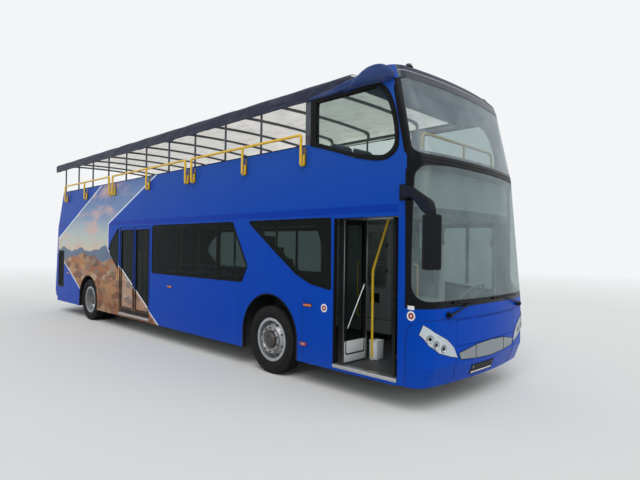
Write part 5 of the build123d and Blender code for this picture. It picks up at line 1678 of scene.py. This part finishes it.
def tailDress():
    s = tailDressSet
    form = Form()
    window = rounded(s["window"], 0.012, 2)
    drapedLoop(form, window, 0.0, 0.009, 0, 8, tailSet, 0.04)
    for side in (1, -1):
        near, far, low, high = s["lampBox"]
        box = rounded(rect(side * near, side * far, low, high), 0.03, 4)
        drapedLoop(form, box, 0.003, 0.008, 0, 8, tailSet, 0.04)
        for z in s["lampBars"]:
            form.tube([skin(side * y, z, 0.004, tailSet) for y in (1.0, 1.05, 1.1, 1.14)], 0.007, 0, 6)
        for spot in ((side * s["lampY"], z) for z in s["lamps"]):
            form.lathe(skin(*spot, 0.0122, tailSet), skinAxis(*spot, tailSet), s["lens"], 2, 28)
        for (near, far), up, rise in s["sideSlabs"]:
            drapedSlab(form, (side * near, side * far), up, (0.0, rise), 2, 4, tailSet)
    # the high lamp in the middle, then the joints of the panels
    drapedSlab(form, (-0.3, 0.3), (2.95, 2.985), (0.0, 0.008), 2, 10, tailSet)
    for z in s["joints"]:
        form.tube([skin(y / 20, z, 0.0004, tailSet) for y in range(-24, 25)], 0.0028, 0, 6)
    piece("tailSeals", form, ["blackRubber", "blackPlastic", "redLens"], 45)
    form = Form()
    drapedSlab(form, (-0.27, 0.27), (0.64, 0.765), (0.001, 0.007), 0, 10, tailSet)
    drapedSlab(form, (-0.26, 0.26), (0.65, 0.755), (0.0065, 0.0085), 0, 10, tailSet)
    for side in (1, -1):
        drapedSlab(form, (side * 0.16, side * 0.07), (0.79, 0.815), (0.001, 0.02), 1, 3, tailSet)
    form.tube([skin(y, 0.60, out, tailSet) for y, out in s["grip"]], 0.008, 1, 10)
    piece("lidDress", form, ["blankPlate", "blackPlastic"], 45, body="engine_lid")
    form = Form()
    # bolt heads along the sills
    for side in (1, -1):
        for x in s["bolts"]:
            form.lathe((ahead(x), side * sideY, 0.34), (0, side, 0),
                       [(0.009, 0), (0.008, 0.003), (0, 0.004)], 0, 12)
    piece("sillBolts", form, ["castIron"])


tailDress()
print("stage: tail made")


# Stage: pale floor, pale sky, soft lamps

view = {"place": (8.433, -5.690, 1.801), "yaw": 134.54, "pitch": 0.761, "roll": 0.773, "focal": 491.0,
        "pictureWidth": 640, "sensor": 36.0}


def makeCamera():
    data = bpy.data.cameras.new("camera")
    data.sensor_width = view["sensor"]
    data.lens = view["focal"] / view["pictureWidth"] * view["sensor"]
    data.clip_end = 300
    camera = bpy.data.objects.new("camera", data)
    yaw, pitch, roll = (math.radians(view[k]) for k in ("yaw", "pitch", "roll"))
    forward = Vector((math.cos(pitch) * math.cos(yaw), math.cos(pitch) * math.sin(yaw), math.sin(pitch)))
    level = Vector((math.sin(yaw), -math.cos(yaw), 0))
    upward = level.cross(forward)
    right = level * math.cos(roll) + upward * math.sin(roll)
    up = right.cross(forward)
    turn = Matrix((right, up, -forward)).transposed()
    camera.matrix_world = Matrix.Translation(view["place"]) @ turn.to_4x4()
    bpy.context.scene.collection.objects.link(camera)
    bpy.context.scene.camera = camera


light = {"sky": 0.62, "backdrop": tone(243, 245, 247), "floor": tone(214, 214, 212), "sun": 1.6, "sunSize": 40,
         "floorHalf": 90.0, "fadeStart": 12.0, "fadeEnd": 34.0, "skyTint": (0.93, 0.96, 1.0, 1), "fillShare": 0.35,
         "sunTurn": (38, 12, 20), "fillTurn": (62, 0, 115)}


def makeStage():
    bpy.context.scene.view_settings.view_transform = "Standard"
    world = bpy.data.worlds.new("sky")
    world.use_nodes = True
    bpy.context.scene.world = world
    tree = world.node_tree
    tree.nodes.clear()

    def put(kind):
        return tree.nodes.new("ShaderNode" + kind)

    rays, lit, shown, share = put("LightPath"), put("Background"), put("Background"), put("MixShader")
    seen, clearSeen, output = put("Math"), put("Math"), put("OutputWorld")
    seen.operation = clearSeen.operation = "MAXIMUM"
    lit.inputs["Color"].default_value = light["skyTint"]
    lit.inputs["Strength"].default_value = light["sky"]
    shown.inputs["Color"].default_value = light["backdrop"]
    tree.links.new(rays.outputs["Is Camera Ray"], seen.inputs[0])
    tree.links.new(rays.outputs["Is Glossy Ray"], seen.inputs[1])
    tree.links.new(seen.outputs[0], clearSeen.inputs[0])
    tree.links.new(rays.outputs["Is Transmission Ray"], clearSeen.inputs[1])
    tree.links.new(clearSeen.outputs[0], share.inputs[0])
    tree.links.new(lit.outputs[0], share.inputs[1])
    tree.links.new(shown.outputs[0], share.inputs[2])
    tree.links.new(share.outputs[0], output.inputs[0])

    size = light["floorHalf"]
    mesh = bpy.data.meshes.new("floor")
    mesh.from_pydata([(x, y, 0) for x, y in rect(-size, size, -size, size)], [], [(0, 1, 2, 3)])
    floor = bpy.data.objects.new("floor", mesh)
    bpy.context.scene.collection.objects.link(floor)
    f = Finish("stageFloor")
    x, y, _ = f.where()
    away = (x * x + y * y).root()
    fade = ((away - light["fadeStart"]) / (light["fadeEnd"] - light["fadeStart"])).most(0.0).least(1.0)
    ground = f.principled({"Base Color": light["floor"], "Roughness": 0.9})
    glow = f.add("Emission", {}, {"Color": light["backdrop"], "Strength": 1.0})
    mesh.materials.append(f.finished(f.mixed(fade, ground, glow)))

    for name, share in (("sun", 1), ("fill", light["fillShare"])):
        data = bpy.data.lights.new(name, "SUN")
        data.energy = light["sun"] * share
        data.angle = math.radians(light["sunSize"])
        lamp = bpy.data.objects.new(name, data)
        lamp.rotation_euler = [math.radians(a) for a in light[name + "Turn"]]
        bpy.context.scene.collection.objects.link(lamp)


makeCamera()
makeStage()
print("stage: camera, floor and lamps made")
